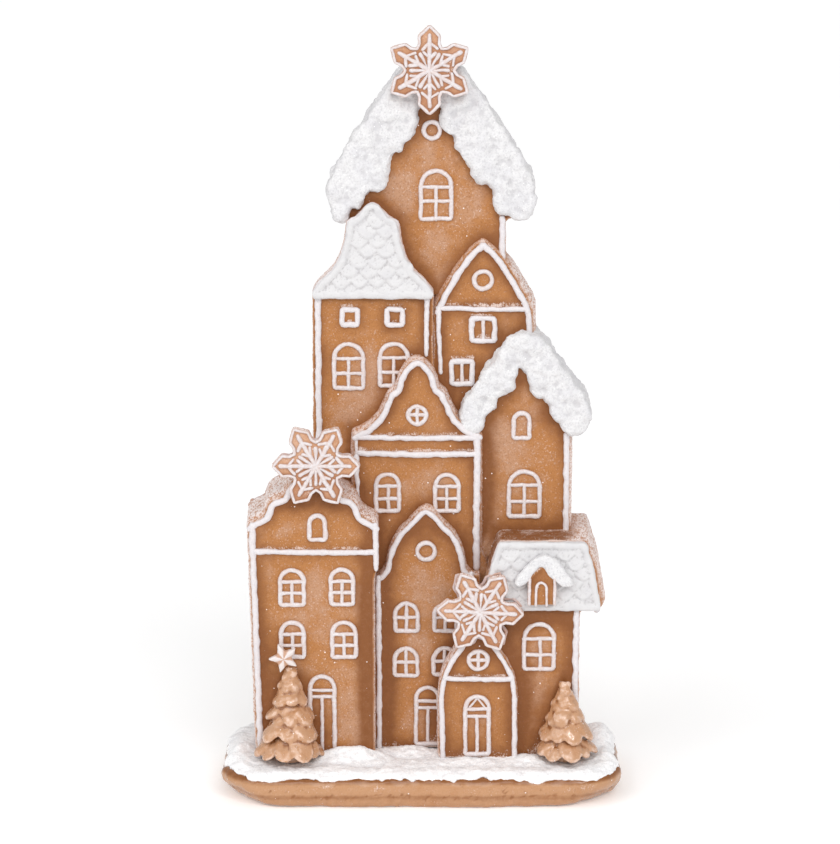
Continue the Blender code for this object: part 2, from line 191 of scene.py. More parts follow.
class StageSettings(bpy.types.PropertyGroup):
    """Camera and studio light."""

    distance: FloatProperty(
        name="Distance", description="From the camera to what it aims at", default=1.3, unit="LENGTH"
    )
    pitch: FloatProperty(
        name="Pitch", description="How far down the camera looks", default=math.radians(11), subtype="ANGLE"
    )
    aim_height: FloatProperty(
        name="Aim height", description="Height that the camera aims at", default=196.8 * MM, unit="LENGTH"
    )
    aim_side: FloatProperty(
        name="Aim side", description="Sideways place of the camera's aim", default=-0.8 * MM, unit="LENGTH"
    )
    lens: FloatProperty(name="Lens", description="Focal length", default=105.02, subtype="DISTANCE_CAMERA")
    sky: FloatProperty(name="Sky", description="Strength of the even white light", default=0.54)
    key: FloatProperty(name="Key", description="Strength of the broad light from the right", default=1.1)
    fill: FloatProperty(name="Fill", description="Strength of the weak light from the left", default=0.75)
    key_spread: FloatProperty(
        name="Key spread", description="How broad the lights are", default=math.radians(40), subtype="ANGLE"
    )
    gleam: FloatProperty(name="Gleam", description="Power of the lamp that makes highlights", default=1.6)


def biscuit():
    return bpy.context.scene.gingerbread_biscuit


def icing():
    return bpy.context.scene.gingerbread_icing


# ---------------------------------------------------------------- meshes

def link_object(name, data):
    made = bpy.data.objects.new(name, data)
    bpy.context.scene.collection.objects.link(made)
    return made


def new_object(name, points, faces):
    mesh = bpy.data.meshes.new(name)
    mesh.from_pydata([tuple(p) for p in points], [], faces)
    mesh.update()
    return link_object(name, mesh)


def from_bmesh(name, bm):
    bmesh.ops.recalc_face_normals(bm, faces=bm.faces)
    mesh = bpy.data.meshes.new(name)
    bm.to_mesh(mesh)
    bm.free()
    return link_object(name, mesh)


def copy_of(node, name):
    """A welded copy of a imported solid, to be worked on."""
    bm = bmesh.new()
    bm.from_mesh(frame["nodes"][node].data)
    bmesh.ops.remove_doubles(bm, verts=bm.verts, dist=0.001 * MM)
    return from_bmesh(name, bm)


def settle(obj):
    """Applies the object's modifiers to its mesh."""
    graph = bpy.context.evaluated_depsgraph_get()
    done = bpy.data.meshes.new_from_object(obj.evaluated_get(graph), depsgraph=graph)
    obj.modifiers.clear()
    old = obj.data
    obj.data = done
    bpy.data.meshes.remove(old)
    return obj


def soften(obj, grid, rounds):
    """Fuses the object into one closed skin with points a grid apart, and rounds its edges."""
    remesh = obj.modifiers.new("skin", "REMESH")
    remesh.mode = "VOXEL"
    remesh.voxel_size = grid
    smooth = obj.modifiers.new("rounding", "SMOOTH")
    smooth.factor = 0.5
    smooth.iterations = rounds
    return settle(obj)


def roughen(obj, *layers):
    """Pushes the surface in and out by soft random patterns, each given as its size and its depth."""
    for size, depth in layers:
        texture = bpy.data.textures.new(f"{obj.name}_clouds", "CLOUDS")
        texture.noise_scale = size
        push = obj.modifiers.new("unevenness", "DISPLACE")
        push.texture = texture
        push.strength = depth
        push.mid_level = 0.5
    return settle(obj)


def points_of(obj):
    found = np.empty(len(obj.data.vertices) * 3, np.float32)
    obj.data.vertices.foreach_get("co", found)
    return found.reshape(-1, 3).astype(float)


def normals_of(obj):
    found = np.empty(len(obj.data.vertices) * 3, np.float32)
    obj.data.vertex_normals.foreach_get("vector", found)
    return found.reshape(-1, 3).astype(float)


def move_points(obj, points):
    obj.data.vertices.foreach_set("co", points.astype(np.float32).ravel())
    obj.data.update()


def store(obj, name, values):
    """Keeps one number for each surface point, for the material to read."""
    layer = obj.data.attributes.new(name, "FLOAT", "POINT")
    layer.data.foreach_set("value", np.asarray(values, np.float32))


def finish_piece(obj, material, slot, *nodes):
    """Gives a piece its material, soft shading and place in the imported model."""
    obj.data.materials.clear()
    obj.data.materials.append(material)
    obj.data.shade_smooth()
    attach(obj, "root")
    if nodes:
        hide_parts(*nodes)
    return obj


def distances(points, lines, reach):
    """How far each point is from the nearest of the lines' points, up to reach, and its height above it."""
    if not lines:
        return np.full(len(points), reach), np.zeros(len(points))
    tree = KDTree(len(lines))
    for i, place in enumerate(lines):
        tree.insert(place, i)
    tree.balance()
    far = np.empty(len(points))
    above = np.empty(len(points))
    for i, point in enumerate(points):
        place, _, gap = tree.find(point)
        far[i] = min(gap, reach)
        above[i] = point[2] - place.z
    return far, above


def step_between(low, high, values):
    t = np.clip((values - low) / (high - low), 0, 1)
    return t * t * (3 - 2 * t)


# ---------------------------------------------------------------- outlines

def between(p, q, r, s, t):
    """The value at t on a soft curve from q to r, with p before them and s after."""
    straight = 2 * q + (r - p) * t
    bent = (2 * p - 5 * q + 4 * r - s) * t**2
    turned = (3 * q - p - 3 * r + s) * t**3
    return 0.5 * (straight + bent + turned)


def smooth_line(points, steps=3):
    """A soft curve through the points, with the given number of steps between two of them."""
    ends = [points[0], *points, points[-1]]
    curve = []
    for near in zip(ends, ends[1:], ends[2:], ends[3:]):
        for step in range(steps):
            curve.append(tuple(between(*axis, step / steps) for axis in zip(*near)))
    return [*curve, points[-1]]


def mirrored(half):
    """A line from its right half, given from the foot to the middle line."""
    left = [(-x, z) for x, z in half]
    right = [(x, z) for x, z in reversed(half) if x > 0]
    return left + right


def inset(points, distance):
    """The line moved to its right-hand side, seen along its run."""
    moved = []
    for i, (x, z) in enumerate(points):
        before, after = points[max(i - 1, 0)], points[min(i + 1, len(points) - 1)]
        run = Vector((after[0] - before[0], after[1] - before[1])).normalized()
        moved.append((x + run.y * distance, z - run.x * distance))
    return moved


def resample(points, step, closed=False):
    """Points a step apart along a path."""
    path = [Vector(p) for p in points]
    if closed:
        path.append(path[0])
    lengths = [0.0]
    for a, b in zip(path, path[1:]):
        lengths.append(lengths[-1] + (b - a).length)
    count = max(2, round(lengths[-1] / step))
    places = np.linspace(0, lengths[-1], count + 1)
    stacked = np.array([tuple(p) for p in path])
    found = np.stack([np.interp(places, lengths, stacked[:, i]) for i in range(3)], axis=1)
    if closed:
        found = found[:-1]
    return [Vector(p) for p in found]


def rounded_corners(points, radius):
    """Cuts each inner corner of an open path short, with two points for a soft turn."""
    turned = [points[0]]
    for before, here, after in zip(points, points[1:], points[2:]):
        for other in (before, after):
            away = Vector((other[0] - here[0], other[1] - here[1]))
            away *= min(0.45, radius / max(away.length, 1e-6))
            turned.append((here[0] + away.x, here[1] + away.y))
    return [*turned, points[-1]]


# ---------------------------------------------------------------- beads of icing

OUTLINE_WIDTH = 2.6 * MM  # a wider line edges a piece, and a narrower one is a detail on it
THIN_WIDTH = 2.7 * MM  # biscuit shows through a narrower line


class Beads:
    """Piped lines of icing, gathered into one mesh, and where they run."""

    SIDES = 10
    WANDER = 0.14  # how far a line strays sideways, as a share of its width
    WAIST = 0.12  # how high up a line is widest, as a share of its height
    KEEL = 0.55  # how far a line reaches into the wall, as a share of its height

    def __init__(self, seed):
        self.seed = seed
        self.points = []
        self.faces = []
        self.crest = []
        self.thin = []
        self.outlines = []
        self.details = []

    def ring(self, centre, side, out, half_width, height):
        first = len(self.points)
        for k in range(self.SIDES):
            angle = 2 * math.pi * k / self.SIDES
            rise = math.sin(angle)
            lift = height * (self.WAIST + ((1 - self.WAIST) * rise if rise > 0 else self.KEEL * rise))
            self.points.append(centre + side * (half_width * math.cos(angle)) + out * lift)
            self.crest.append(max(0.0, rise))
        return first

    def join(self, a, b):
        for k in range(self.SIDES):
            n = (k + 1) % self.SIDES
            self.faces.append((a + k, a + n, b + n, b + k))

    def close(self, ring, centre, forward):
        tip = len(self.points)
        self.points.append(centre)
        self.crest.append(0.5)
        for k in range(self.SIDES):
            n = (k + 1) % self.SIDES
            self.faces.append((ring + n, ring + k, tip) if forward else (ring + k, ring + n, tip))

    def bead(self, path, width, out, closed=False, height=None, taper=0.0):
        """One line of icing along the path, on a wall that faces out."""
        height = height or icing().height * width
        line = resample(path, icing().step, closed)
        (self.outlines if width > OUTLINE_WIDTH else self.details).extend(line)
        first = len(self.points)
        self.seed += 1
        cuts = [self.cut(line, i, width, out, closed, height, taper) for i in range(len(line))]
        for near, far in zip(cuts, cuts[1:]):
            self.join(near[0], far[0])
        if closed:
            self.join(cuts[-1][0], cuts[0][0])
        else:
            self.round_end(cuts[0], -1, width, out)
            self.round_end(cuts[-1], 1, width, out)
        thin = 1.0 if width < THIN_WIDTH else 0.35
        self.thin += [thin] * (len(self.points) - first)

    def cut(self, line, i, width, out, closed, height, taper):
        """A ring round the line at one of its places, with a chance swell and stray."""
        place, count = line[i], len(line)
        before = line[i - 1] if closed or i else place
        after = line[(i + 1) % count] if closed or i + 1 < count else place
        run = (after - before).normalized()
        side = run.cross(out)
        spot = place / (4.5 * MM) + Vector((self.seed * 3.7, 0, 0))
        swell = 1 + 0.2 * noise.noise(spot) + 0.14 * noise.noise(spot * 2.9) - taper * i / count
        wander = self.WANDER * width
        centre = place + side * wander * noise.noise(spot + Vector((0, 31, 7)))
        tall = height * (1 + 0.22 * noise.noise(spot * 1.7 + Vector((9, 0, 5))))
        ring = self.ring(centre, side, out, width / 2 * swell, tall)
        return ring, centre, run, side, tall, swell

    def round_end(self, end, sign, width, out):
        ring, centre, run, side, tall, swell = end
        for angle in (35, 65):
            reach = width / 2 * math.sin(math.radians(angle))
            shrink = math.cos(math.radians(angle))
            further = centre + run * sign * reach
            new = self.ring(further, side, out, width / 2 * swell * shrink, tall * (0.35 + 0.65 * shrink))
            near, far = (ring, new) if sign > 0 else (new, ring)
            self.join(near, far)
            ring = new
        tip = centre + run * sign * width / 2 + out * 0.1 * tall
        self.close(ring, tip, sign < 0)

    def build(self, name):
        made = new_object(name, self.points, self.faces)
        store(made, "crest", self.crest)
        store(made, "thin", self.thin)
        return made


# ---------------------------------------------------------------- house fronts

class HouseFront:
    """One house: its line and gable in millimetres, and all that is piped on its front."""

    RING_POINTS = 20
    ARCH_STEPS = 10

    def __init__(self, node, centre, half, gable, foot=FLOOR_MM, rim=1.9, wider=2.5, taller=2.5, aside=0):
        self.node = node
        self.centre = centre
        self.gable = gable
        self.foot = foot
        self.rim = rim
        self.outline = mirrored([(half, foot), *gable])
        self.wider = 1 + wider / half
        self.taller = 1 + taller / (max(z for _, z in gable) - foot)
        self.aside = aside
        self.burnt = ()  # dark patches of darker paint and of painted shadow, and light ones of painted light in deep crevices where the strength is negative: middle's X and height, spread in both, and strength
        self.frosted = math.inf  # the wall is white with sugar above this height
        self.plain = -1000.0  # the sides bear no dashes of sugar left of this place
        self.plumb = foot  # the house's back is no wider than its front below this height
        self.strokes = []

    def body(self):
        """The house's solid: its front face, a soft swell behind it, and its wider back."""
        low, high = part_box(self.node)
        swell = min(6 * MM, (high.y - low.y) / 2)
        points = []  # three copies of the outline: the front, behind its swell, and the back
        for depth, share in ((low.y, 0), (low.y + swell, 0.6), (high.y, 1)):
            wide, tall = 1 + (self.wider - 1) * share, 1 + (self.taller - 1) * share
            middle = self.centre + self.aside * share
            for x, z in self.outline:
                across = middle + x * wide if z >= self.plumb else self.centre + x
                points.append((across * MM, depth, (self.foot + (z - self.foot) * tall) * MM))
        count = len(self.outline)
        faces = [tuple(range(count)), tuple(range(3 * count - 1, 2 * count - 1, -1))]
        for row in (0, count):
            for i in range(count):
                n = (i + 1) % count
                faces.append((row + n, row + i, row + count + i, row + count + n))
        return new_object(self.node + "_baked", points, faces)

    def line(self, points, width=None, taper=0.0):
        self.strokes.append((points, width or icing().line / MM, False, taper))
        return self

    def loop(self, points, width):
        self.strokes.append((points, width, True, 0.0))
        return self

    def gable_line(self, width=None):
        """A line of icing just inside the gable's edge."""
        return self.line(inset(mirrored(self.gable), self.rim), width)

    def strip(self, top, foot, width=None, taper=0.0):
        return self.line([top, foot], width, taper)

    def ring(self, x, z, radius, cross=False):
        width = icing().window / MM
        turn = [2 * math.pi * i / self.RING_POINTS for i in range(self.RING_POINTS)]
        self.loop([(x + radius * math.cos(a), z + radius * math.sin(a)) for a in turn], width)
        if cross:
            self.bar((x - radius, z), (x + radius, z))
            self.bar((x, z - radius), (x, z + radius))
        return self

    def bar(self, start, end, width=None):
        self.strokes.append(([start, end], width or icing().bar / MM, False, 0.0))
        return self

    def pane(self, left, right, foot, top, arched=True):
        """A window's or door's outline: straight sides, with a round head where arched."""
        edge = icing().window / MM / 2
        left, right, foot, top = left + edge, right - edge, foot + edge, top - edge
        if not arched:
            corners = [(left, foot), (right, foot), (right, top), (left, top)]
            middle = ((left + right) / 2, foot)
            path = rounded_corners([middle, *corners[1:], corners[0], middle], 0.5)
            return self.loop(path[:-1], 2 * edge + 0.5)
        radius = (right - left) / 2
        spring = top - radius
        head = [math.pi * i / self.ARCH_STEPS for i in range(self.ARCH_STEPS + 1)]
        arc = [(left + radius * (1 + math.cos(a)), spring + radius * math.sin(a)) for a in head]
        start = ((left + right) / 2, foot)
        path = rounded_corners([start, (right, foot), arc[0]], 0.6)
        path += arc[1:-1]
        path += rounded_corners([arc[-1], (left, foot), start], 0.6)
        return self.loop(path[:-1], 2 * edge)

    def window(self, left, right, foot, top, bars=(), mullion=None, fan=0.0, arched=True):
        """A window: its outline, its cross bars by height, and a mullion up to the fan bar."""
        self.pane(left, right, foot, top, arched)
        for z in bars:
            self.bar((left + 1, z), (right - 1, z))
        if mullion is not None:
            self.bar((mullion, foot + 1), (mullion, fan or top - 1))
        return self

    def door(self, left, right, foot, top, bars, centre):
        self.window(left, right, foot, top, bars)
        return self.bar((centre, foot + 1), (centre, bars[-1]))

    def place(self, x, z, facing):
        """The point on the front or back face, in metres. The back stands a little wider and higher."""
        low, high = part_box(self.node)
        if facing is FRONT:
            return Vector(((self.centre + x) * MM, low.y, z * MM))
        high_z = self.foot + (z - self.foot) * self.taller
        across = self.centre + (self.aside + x * self.wider if z >= self.plumb else x)
        return Vector((across * MM, high.y, high_z * MM))

    def pipe(self, facing, seed):
        beads = Beads(seed)
        for points, width, closed, taper in self.strokes:
            path = [self.place(x, z, facing) for x, z in points]
            beads.bead(path, width * MM, facing, closed, taper=taper)
        return beads


def top_house():
    gable = [(39.2, 302.5), (46.2, 303.5), (46.2, 307), (22, 343), (0, 374)]
    front = HouseFront("house_top", 5.2, 39.2, gable, 262, wider=0, taller=0)
    front.ring(0.3, 349.3, 4.3).window(-6.8, 11.6, 301.6, 329.4, (319.5, 312.2), 2.4, 319.5)
    return front.strip((37.3, 303), (37.3, 263), 3.4).strip((-37.3, 303), (-37.3, 263), 3.4)


def upper_left_house():
    gable = [(31.8, 266.5), (28.3, 271.3), (21.9, 277.3), (17.9, 283.8), (15.1, 292.8), (13.8, 302.5)]
    gable += [(9.2, 305), (5.8, 308.4), (3.6, 311.2), (0, 312.7)]
    front = HouseFront("house_upper_left", -25.6, 31.8, gable, wider=0.6, taller=-2.5)
    front.frosted = 266
    for left, right in ((-17.4, -6.8), (6.3, 16.9)):
        front.pane(left, right, 246.3, 256.9, arched=False)
    front.window(-21.8, -4.0, 212.3, 238.5, (229.4, 221.5), -13.1, 229.4)
    front.window(2.3, 19.6, 213.6, 238.7, (229.8, 222), 10.8, 229.8)
    front.gable_line(3.2).line([(-29, 264), (29, 264)], 3)
    front.strip((-29, 262), (-28.6, 20), 3.3)
    return front.strip((28.5, 262), (28.2, 232), 3.2, taper=0.35)


def upper_right_house():
    slope = [(25.8, 254.5), (24.6, 258), (20.8, 265), (16.5, 273), (12.5, 279), (5.6, 287.6), (0, 292)]
    front = HouseFront("house_upper_right", 32.35, 25.8, smooth_line(slope, 2), rim=2.2, wider=3.4, taller=3)
    front.gable_line().line([(-23.4, 256.2), (0, 255.4), (23.4, 255.6)], 2.9)
    front.ring(0, 271, 4.7)
    front.window(-7.2, 7.5, 237.4, 251.8, (), 0.2, arched=False)
    front.window(-17.8, -4.2, 214.3, 228.8, (), -10.9, arched=False)
    front.strip((-23.6, 254.5), (-22.2, 222), 3, taper=0.2)
    return front.strip((23.8, 254.5), (25.2, 238), 3)


def bell_gable_house():
    slope = [(33.6, 190.2), (27, 193.4), (20.8, 199), (17, 206.4), (14.6, 212.2), (11.2, 214.6)]
    slope += [(9.9, 219.6), (7.2, 225), (3.4, 229.2), (0, 230.4)]
    front = HouseFront("house_bell_gable", -2.3, 33.6, smooth_line(slope, 2))
    front.outline[-1:] = [(33.6, 127), (37.5, 120), (37.5, FLOOR_MM)]
    front.burnt = ((35, 116, 6, 12, -1.4),)
    front.gable_line().line([(-31.5, 188.6), (0, 188), (31, 188.4)], 3.1)
    front.line([(-30.5, 180), (0, 179.2), (30.5, 179.6)], 3.3)
    front.ring(0, 200.6, 4.8, cross=True)
    front.window(-23, -8.4, 147.5, 169.9, (162.2, 155.3), -15.4, 162.2)
    front.window(8.3, 23.3, 147.5, 169.5, (162, 155.3), 15.8, 162)
    front.strip((-32.4, 188), (-31.9, 179), 1.8).strip((-32.2, 178), (-31.6, 157), 3.2, taper=0.4)
    return front.strip((31.8, 189), (31.6, 118), 3.8)


def tower_house():
    gable = [(23.9, 190), (27.5, 190.8), (27.5, 194), (0, 233)]
    front = HouseFront("house_tower", 54.9, 23.9, gable, 112, taller=0)
    front.burnt = ((-20, 120, 9, 12, -1.4), (-20.5, 164, 6, 34, 0.7), (12, 198, 8, 8, 0.6))
    front.pane(-7.4, 3.6, 186.2, 202)
    front.window(-9.5, 9.3, 143.6, 170.6, (161.8, 152.9), -0.2, 161.8)
    return front.strip((22, 189), (22.2, 132), 3.2)


def front_left_house():
    slope = [(33.9, 145.6), (30, 148.2), (25.4, 150.6), (23.4, 156.2), (20.2, 159.6), (15.4, 161)]
    slope += [(12.8, 165.8), (7.5, 171.5), (0, 174)]
    gable = smooth_line(slope, 2)
    front = HouseFront("house_front_left", -56.75, 33.9, gable, rim=1.6, wider=1.2, taller=4, aside=-1.2)
    front.outline[0] = (front.outline[0][0] + 3.2, FLOOR_MM)
    front.outline[-1:] = [(33.9, 122), (32, 117), (32, FLOOR_MM)]
    front.burnt = ((32, 88, 8, 50, 2.1), (33, 40, 7.5, 32, 1.6))
    front.burnt += ((-28, 80, 6, 60, 0.45), (0, 162, 22, 9, 0.35))
    front.gable_line(3.5).line([(-30.6, 132), (0, 131.4), (32, 131.6)], 3.2)
    front.pane(-3.2, 7.6, 137.1, 152.4)
    windows = ((-18.8, -3.9, 101.9), (7.8, 22, 102.2), (-18.6, -4.1, 73.4), (8.4, 23.3, 73.4))
    for left, right, low in windows:
        middle = (left + right) / 2
        front.window(left, right, low, low + 21.4, (low + 13.7, low + 7.6), middle, low + 13.7)
    front.door(-3.6, 11.8, 20.5, 65.3, (56.4, 52.9), 4)
    return front.strip((-32, 146), (-28.8, 20), 3.4).strip((32.4, 146), (33, 123), 3.4, taper=0.2)


def front_middle_house():
    slope = [(25, 114.8), (21.8, 118.6), (20.5, 124.8), (18.5, 131.4), (14.8, 138)]
    slope += [(10.2, 142.6), (6.6, 146.8), (3.2, 150.2), (0, 151.4)]
    front = HouseFront("house_front_middle", 2.4, 25, smooth_line(slope, 2), rim=1.7, wider=0)
    front.outline[:2] = [(-28, FLOOR_MM), (-28, 112)]
    front.outline[-1:] = [(29, 116), (29, FLOOR_MM)]
    front.burnt = ((-19, 60, 6, 50, 0.5), (0, 140, 12, 12, 0.5), (20, 80, 6, 20, 0.5), (24, 112, 6, 12, -0.8))
    front.gable_line(3).ring(0, 128.5, 4.7)
    windows = ((-17.6, -3.2, 83.5, 101.1), (3.2, 17.6, 83.5, 100.6))
    windows += ((-17.9, -3.4, 58.8, 76.3), (2.9, 17.1, 59.4, 76.3))
    for left, right, low, high in windows:
        front.window(left, right, low, high, (low + 8.6,), (left + right) / 2, high - 1)
    front.door(-6.6, 8.3, 20.5, 54.6, (45.7, 42), 1)
    return front.strip((-25.2, 114), (-25, 20), 2.9).strip((24.2, 116), (24, 20), 2.9)


def front_right_house():
    mansard = [(31.2, 99.8), (31.2, 103.6), (28, 122), (22.6, 137.4)]
    front = HouseFront("house_front_right", 63.2, 31.2, mansard, taller=0, aside=2.5)
    front.outline[-1:] = [(20.4, 99.8), (20.4, FLOOR_MM)]
    front.plumb = 99.9
    front.burnt = ((0, 96, 30, 7, 0.9), (-22, 90, 10, 20, 0.8), (-10, 48, 9, 30, 0.65))
    front.burnt += ((14, 60, 5, 46, 0.5), (-28, 120, 6, 20, -1))
    front.plain = 14
    front.gable_line(3.2).line([(-28.6, 102.4), (28.6, 102.4)], 3)
    front.window(-10.2, 8, 66.4, 93.4, (84.2, 75.4), -0.4, 84.2)
    return front.strip((18.4, 99), (18.2, 20), 3.3)


def chapel_house():
    slope = [(21.3, 51), (20.9, 58), (19.6, 64.4), (17.1, 70.4), (14, 75.8), (11, 80), (7.4, 85), (0, 89)]
    front = HouseFront("chapel", 29.9, 21.3, smooth_line(slope, 2), rim=2, wider=0, taller=0)
    front.burnt = ((0, 40, 22, 40, 0.22),)
    front.gable_line(2.8).line([(-17.4, 63.4), (0, 62.8), (17.2, 63)], 3)
    front.ring(0, 73.5, 5, cross=True)
    front.door(-7.9, 7, 20.5, 54.8, (46.5, 42.6), -0.4)
    front.bar((-4.4, 47.6), (-0.5, 52.4), 1.2).bar((3.6, 47.6), (-0.3, 52.4), 1.2)
    return front.strip((-19.4, 52), (-18.4, 20), 3).strip((19.4, 52), (19.6, 20), 3)


def dormer_house():
    front = HouseFront("dormer", 63.1, 7.6, [(7.6, 119), (0, 127.4)], 104.6, wider=0, taller=0)
    head = [math.pi * i / 8 for i in range(9)]
    arch = [(-0.4 + 2.7 * math.cos(a), 114 + 3 * math.sin(a)) for a in head]
    front.line([(2.4, 105), *arch, (-3.3, 105)], 1.5)
    return front.strip((-6.7, 119), (-6.7, 105.5), 1.7).strip((6.5, 119), (6.5, 105.5), 1.7)


# ---------------------------------------------------------------- materials

SUGAR_DASH = (0.87, 0.79, 0.77)
SUGAR_SPARK = (0.90, 0.83, 0.80)
SIDE_CRUST = (0.60, 0.35, 0.26)
FLAKE_CRUST = ((0.64, 0.39, 0.26), (0.55, 0.29, 0.16), (0.34, 0.135, 0.06))
TRAY_CRUST = ((0.50, 0.27, 0.14), (0.41, 0.18, 0.065))


class Wiring:
    """Short ways to add shader nodes to a tree and join them."""

    def __init__(self, tree):
        self.tree = tree
        self.place = None

    def node(self, kind, inputs=None, **settings):
        made = self.tree.nodes.new(kind)
        for name, value in settings.items():
            setattr(made, name, value)
        for name, value in (inputs or {}).items():
            self.feed(made.inputs[name], value)
        return made

    def feed(self, socket, value):
        if isinstance(value, bpy.types.NodeSocket):
            self.tree.links.new(value, socket)
        elif socket.type == "RGBA":
            socket.default_value = (*value, 1)
        else:
            socket.default_value = value

    def where(self):
        if self.place is None:
            self.place = self.node("ShaderNodeTexCoord").outputs["Object"]
        return self.place

    def noise(self, size, detail=3.0, roughness=0.55):
        """Soft noise whose features are about size across, in metres."""
        inputs = {"Vector": self.where(), "Scale": 1 / size, "Detail": detail, "Roughness": roughness}
        return self.node("ShaderNodeTexNoise", inputs).outputs["Fac"]

    def attribute(self, name):
        return self.node("ShaderNodeAttribute", attribute_name=name).outputs["Fac"]

    def math(self, operation, a, b, clamp=False):
        return self.node("ShaderNodeMath", {0: a, 1: b}, operation=operation, use_clamp=clamp).outputs[0]

    def plus(self, a, b):
        return self.math("ADD", a, b)

    def minus(self, a, b):
        return self.math("SUBTRACT", a, b)

    def times(self, a, b):
        return self.math("MULTIPLY", a, b)

    def swing(self, value, amount):
        """The value's way above or below a half, times the amount."""
        return self.times(self.minus(value, 0.5), amount)

    def spread(self, value, low, high, to_low=0.0, to_high=1.0):
        """The value from low to high, eased into another range."""
        inputs = {"Value": value, "From Min": low, "From Max": high, "To Min": to_low, "To Max": to_high}
        return self.node("ShaderNodeMapRange", inputs, interpolation_type="SMOOTHSTEP").outputs["Result"]

    def patches(self, size, detail, low, high, to_low=0.0, to_high=1.0, roughness=0.55):
        """Soft patches about size across: the noise from low to high, eased into another range."""
        return self.spread(self.noise(size, detail, roughness), low, high, to_low, to_high)

    def mix(self, share, a, b):
        """Colour a with the given share of colour b. The node's inputs 6 and 7 are its colours."""
        return self.node("ShaderNodeMix", {0: share, 6: a, 7: b}, data_type="RGBA").outputs[2]

    def effect(self, build, inputs=None):
        """A shared effect's outputs. Its node group is built on first use, by the function of its name."""
        tree = bpy.data.node_groups.get(build.__name__) or build()
        return self.node("ShaderNodeGroup", inputs, node_tree=tree).outputs


def new_group(name, inputs, outputs):
    """An empty node group with float inputs, given with their defaults, and float outputs."""
    tree = bpy.data.node_groups.new(name, "ShaderNodeTree")
    for label, default in inputs.items():
        socket = tree.interface.new_socket(label, in_out="INPUT", socket_type="NodeSocketFloat")
        socket.default_value = default
    for label in outputs:
        tree.interface.new_socket(label, in_out="OUTPUT", socket_type="NodeSocketFloat")
    wiring = Wiring(tree)
    return tree, wiring, wiring.node("NodeGroupInput").outputs, wiring.node("NodeGroupOutput").inputs


def crumb():
    """Baked crumb: blotches of tone, and a fine rough height with pores."""
    tree, w, given, out = new_group("crumb", {"Pores": 0.5}, ("Tone", "Height"))
    blotch = w.plus(w.times(w.noise(26 * MM, 2), 0.55), w.times(w.noise(7 * MM, 3), 0.45))
    w.feed(out["Tone"], w.spread(blotch, 0.32, 0.68))
    solid = w.patches(1.5 * MM, 1, 0.27, 0.36)
    depth = w.times(w.minus(1.0, solid), given["Pores"])
    w.feed(out["Height"], w.minus(w.noise(0.8 * MM, 2, 0.6), depth))
    return tree


def dusting():
    """Sugar dust: a patchy grainy mask that fills in as the amount grows."""
    tree, w, given, out = new_group("dusting", {"Amount": 0.5}, ("Mask",))
    rough = w.plus(w.times(w.noise(0.75 * MM, 2, 0.65), 0.6), w.times(w.noise(5 * MM, 2), 0.4))
    edge = w.minus(0.78, w.times(given["Amount"], 0.52))
    w.feed(out["Mask"], w.math("MULTIPLY", w.minus(rough, edge), 7.0, clamp=True))
    return tree


def dashes():
    """Short wavy strokes of sugar that run from front to back on a house's sides."""
    tree, w, _, out = new_group("dashes", {}, ("Mask",))
    stretch = (1 / (1.25 * MM), 1 / (3.2 * MM), 1 / (1.1 * MM))
    spot = w.node("ShaderNodeMapping", {"Vector": w.where(), "Scale": stretch}).outputs[0]
    inputs = {"Vector": spot, "Scale": 1.0, "Detail": 1.0, "Distortion": 1.3}
    strokes = w.node("ShaderNodeTexNoise", inputs).outputs["Fac"]
    w.feed(out["Mask"], w.spread(strokes, 0.41, 0.52, 0, 0.94))
    return tree


def glitter():
    """Tiny sugar sparks: a few round dots, each in its own cell."""
    tree, w, given, out = new_group("glitter", {"Share": 0.1, "Size": 1.6 * MM}, ("Mask",))
    scale = w.math("DIVIDE", 1.0, given["Size"])
    cells = w.node("ShaderNodeTexVoronoi", {"Vector": w.where(), "Scale": scale})
    dot = w.spread(cells.outputs["Distance"], 0.16, 0.26, 1, 0)
    lottery = w.node("ShaderNodeSeparateColor", {"Color": cells.outputs["Color"]}).outputs[0]
    w.feed(out["Mask"], w.times(dot, w.math("LESS_THAN", lottery, given["Share"])))
    return tree


def new_material(name):
    made = bpy.data.materials.new(name)
    made.use_nodes = True
    wiring = Wiring(made.node_tree)
    return made, wiring, made.node_tree.nodes["Principled BSDF"]


def dress(w, shader, colour, roughness, height=None, depth=0.0, strength=1.0):
    """Feeds the shader its colour and roughness, and a bump of the given depth."""
    w.feed(shader.inputs["Base Color"], colour)
    w.feed(shader.inputs["Roughness"], roughness)
    if height is not None:
        made = w.node("ShaderNodeBump", {"Height": height, "Distance": depth, "Strength": strength})
        w.feed(shader.inputs["Normal"], made.outputs["Normal"])


def baked_colour(w, tone, light, brown, dark, relief):
    """The crust's colour: paler in the middle of a wall, darker beside its icing, and with painted shade next
    to other pieces and in its hollows.
    """
    colour = w.mix(w.spread(w.plus(w.attribute("edge"), w.swing(tone, 0.9)), 0.05, 0.95), light, brown)
    # Darker beside the icing, with painted shade next to other pieces.
    darkened = w.plus(w.attribute("stain"), w.swing(w.noise(3 * MM, 3), 0.5))
    colour = w.mix(w.spread(darkened, 0.05, 1.1), colour, dark)
    # Painted shade in the hollows of the surface.
    colour = w.mix(w.spread(w.attribute("hollow"), 0.58, 0.9, 0, 0.6), colour, dark)
    return w.mix(w.patches(0.8 * MM, 2, 0.5, 0.66, 0, 0.42 * relief, 0.7), colour, dark)


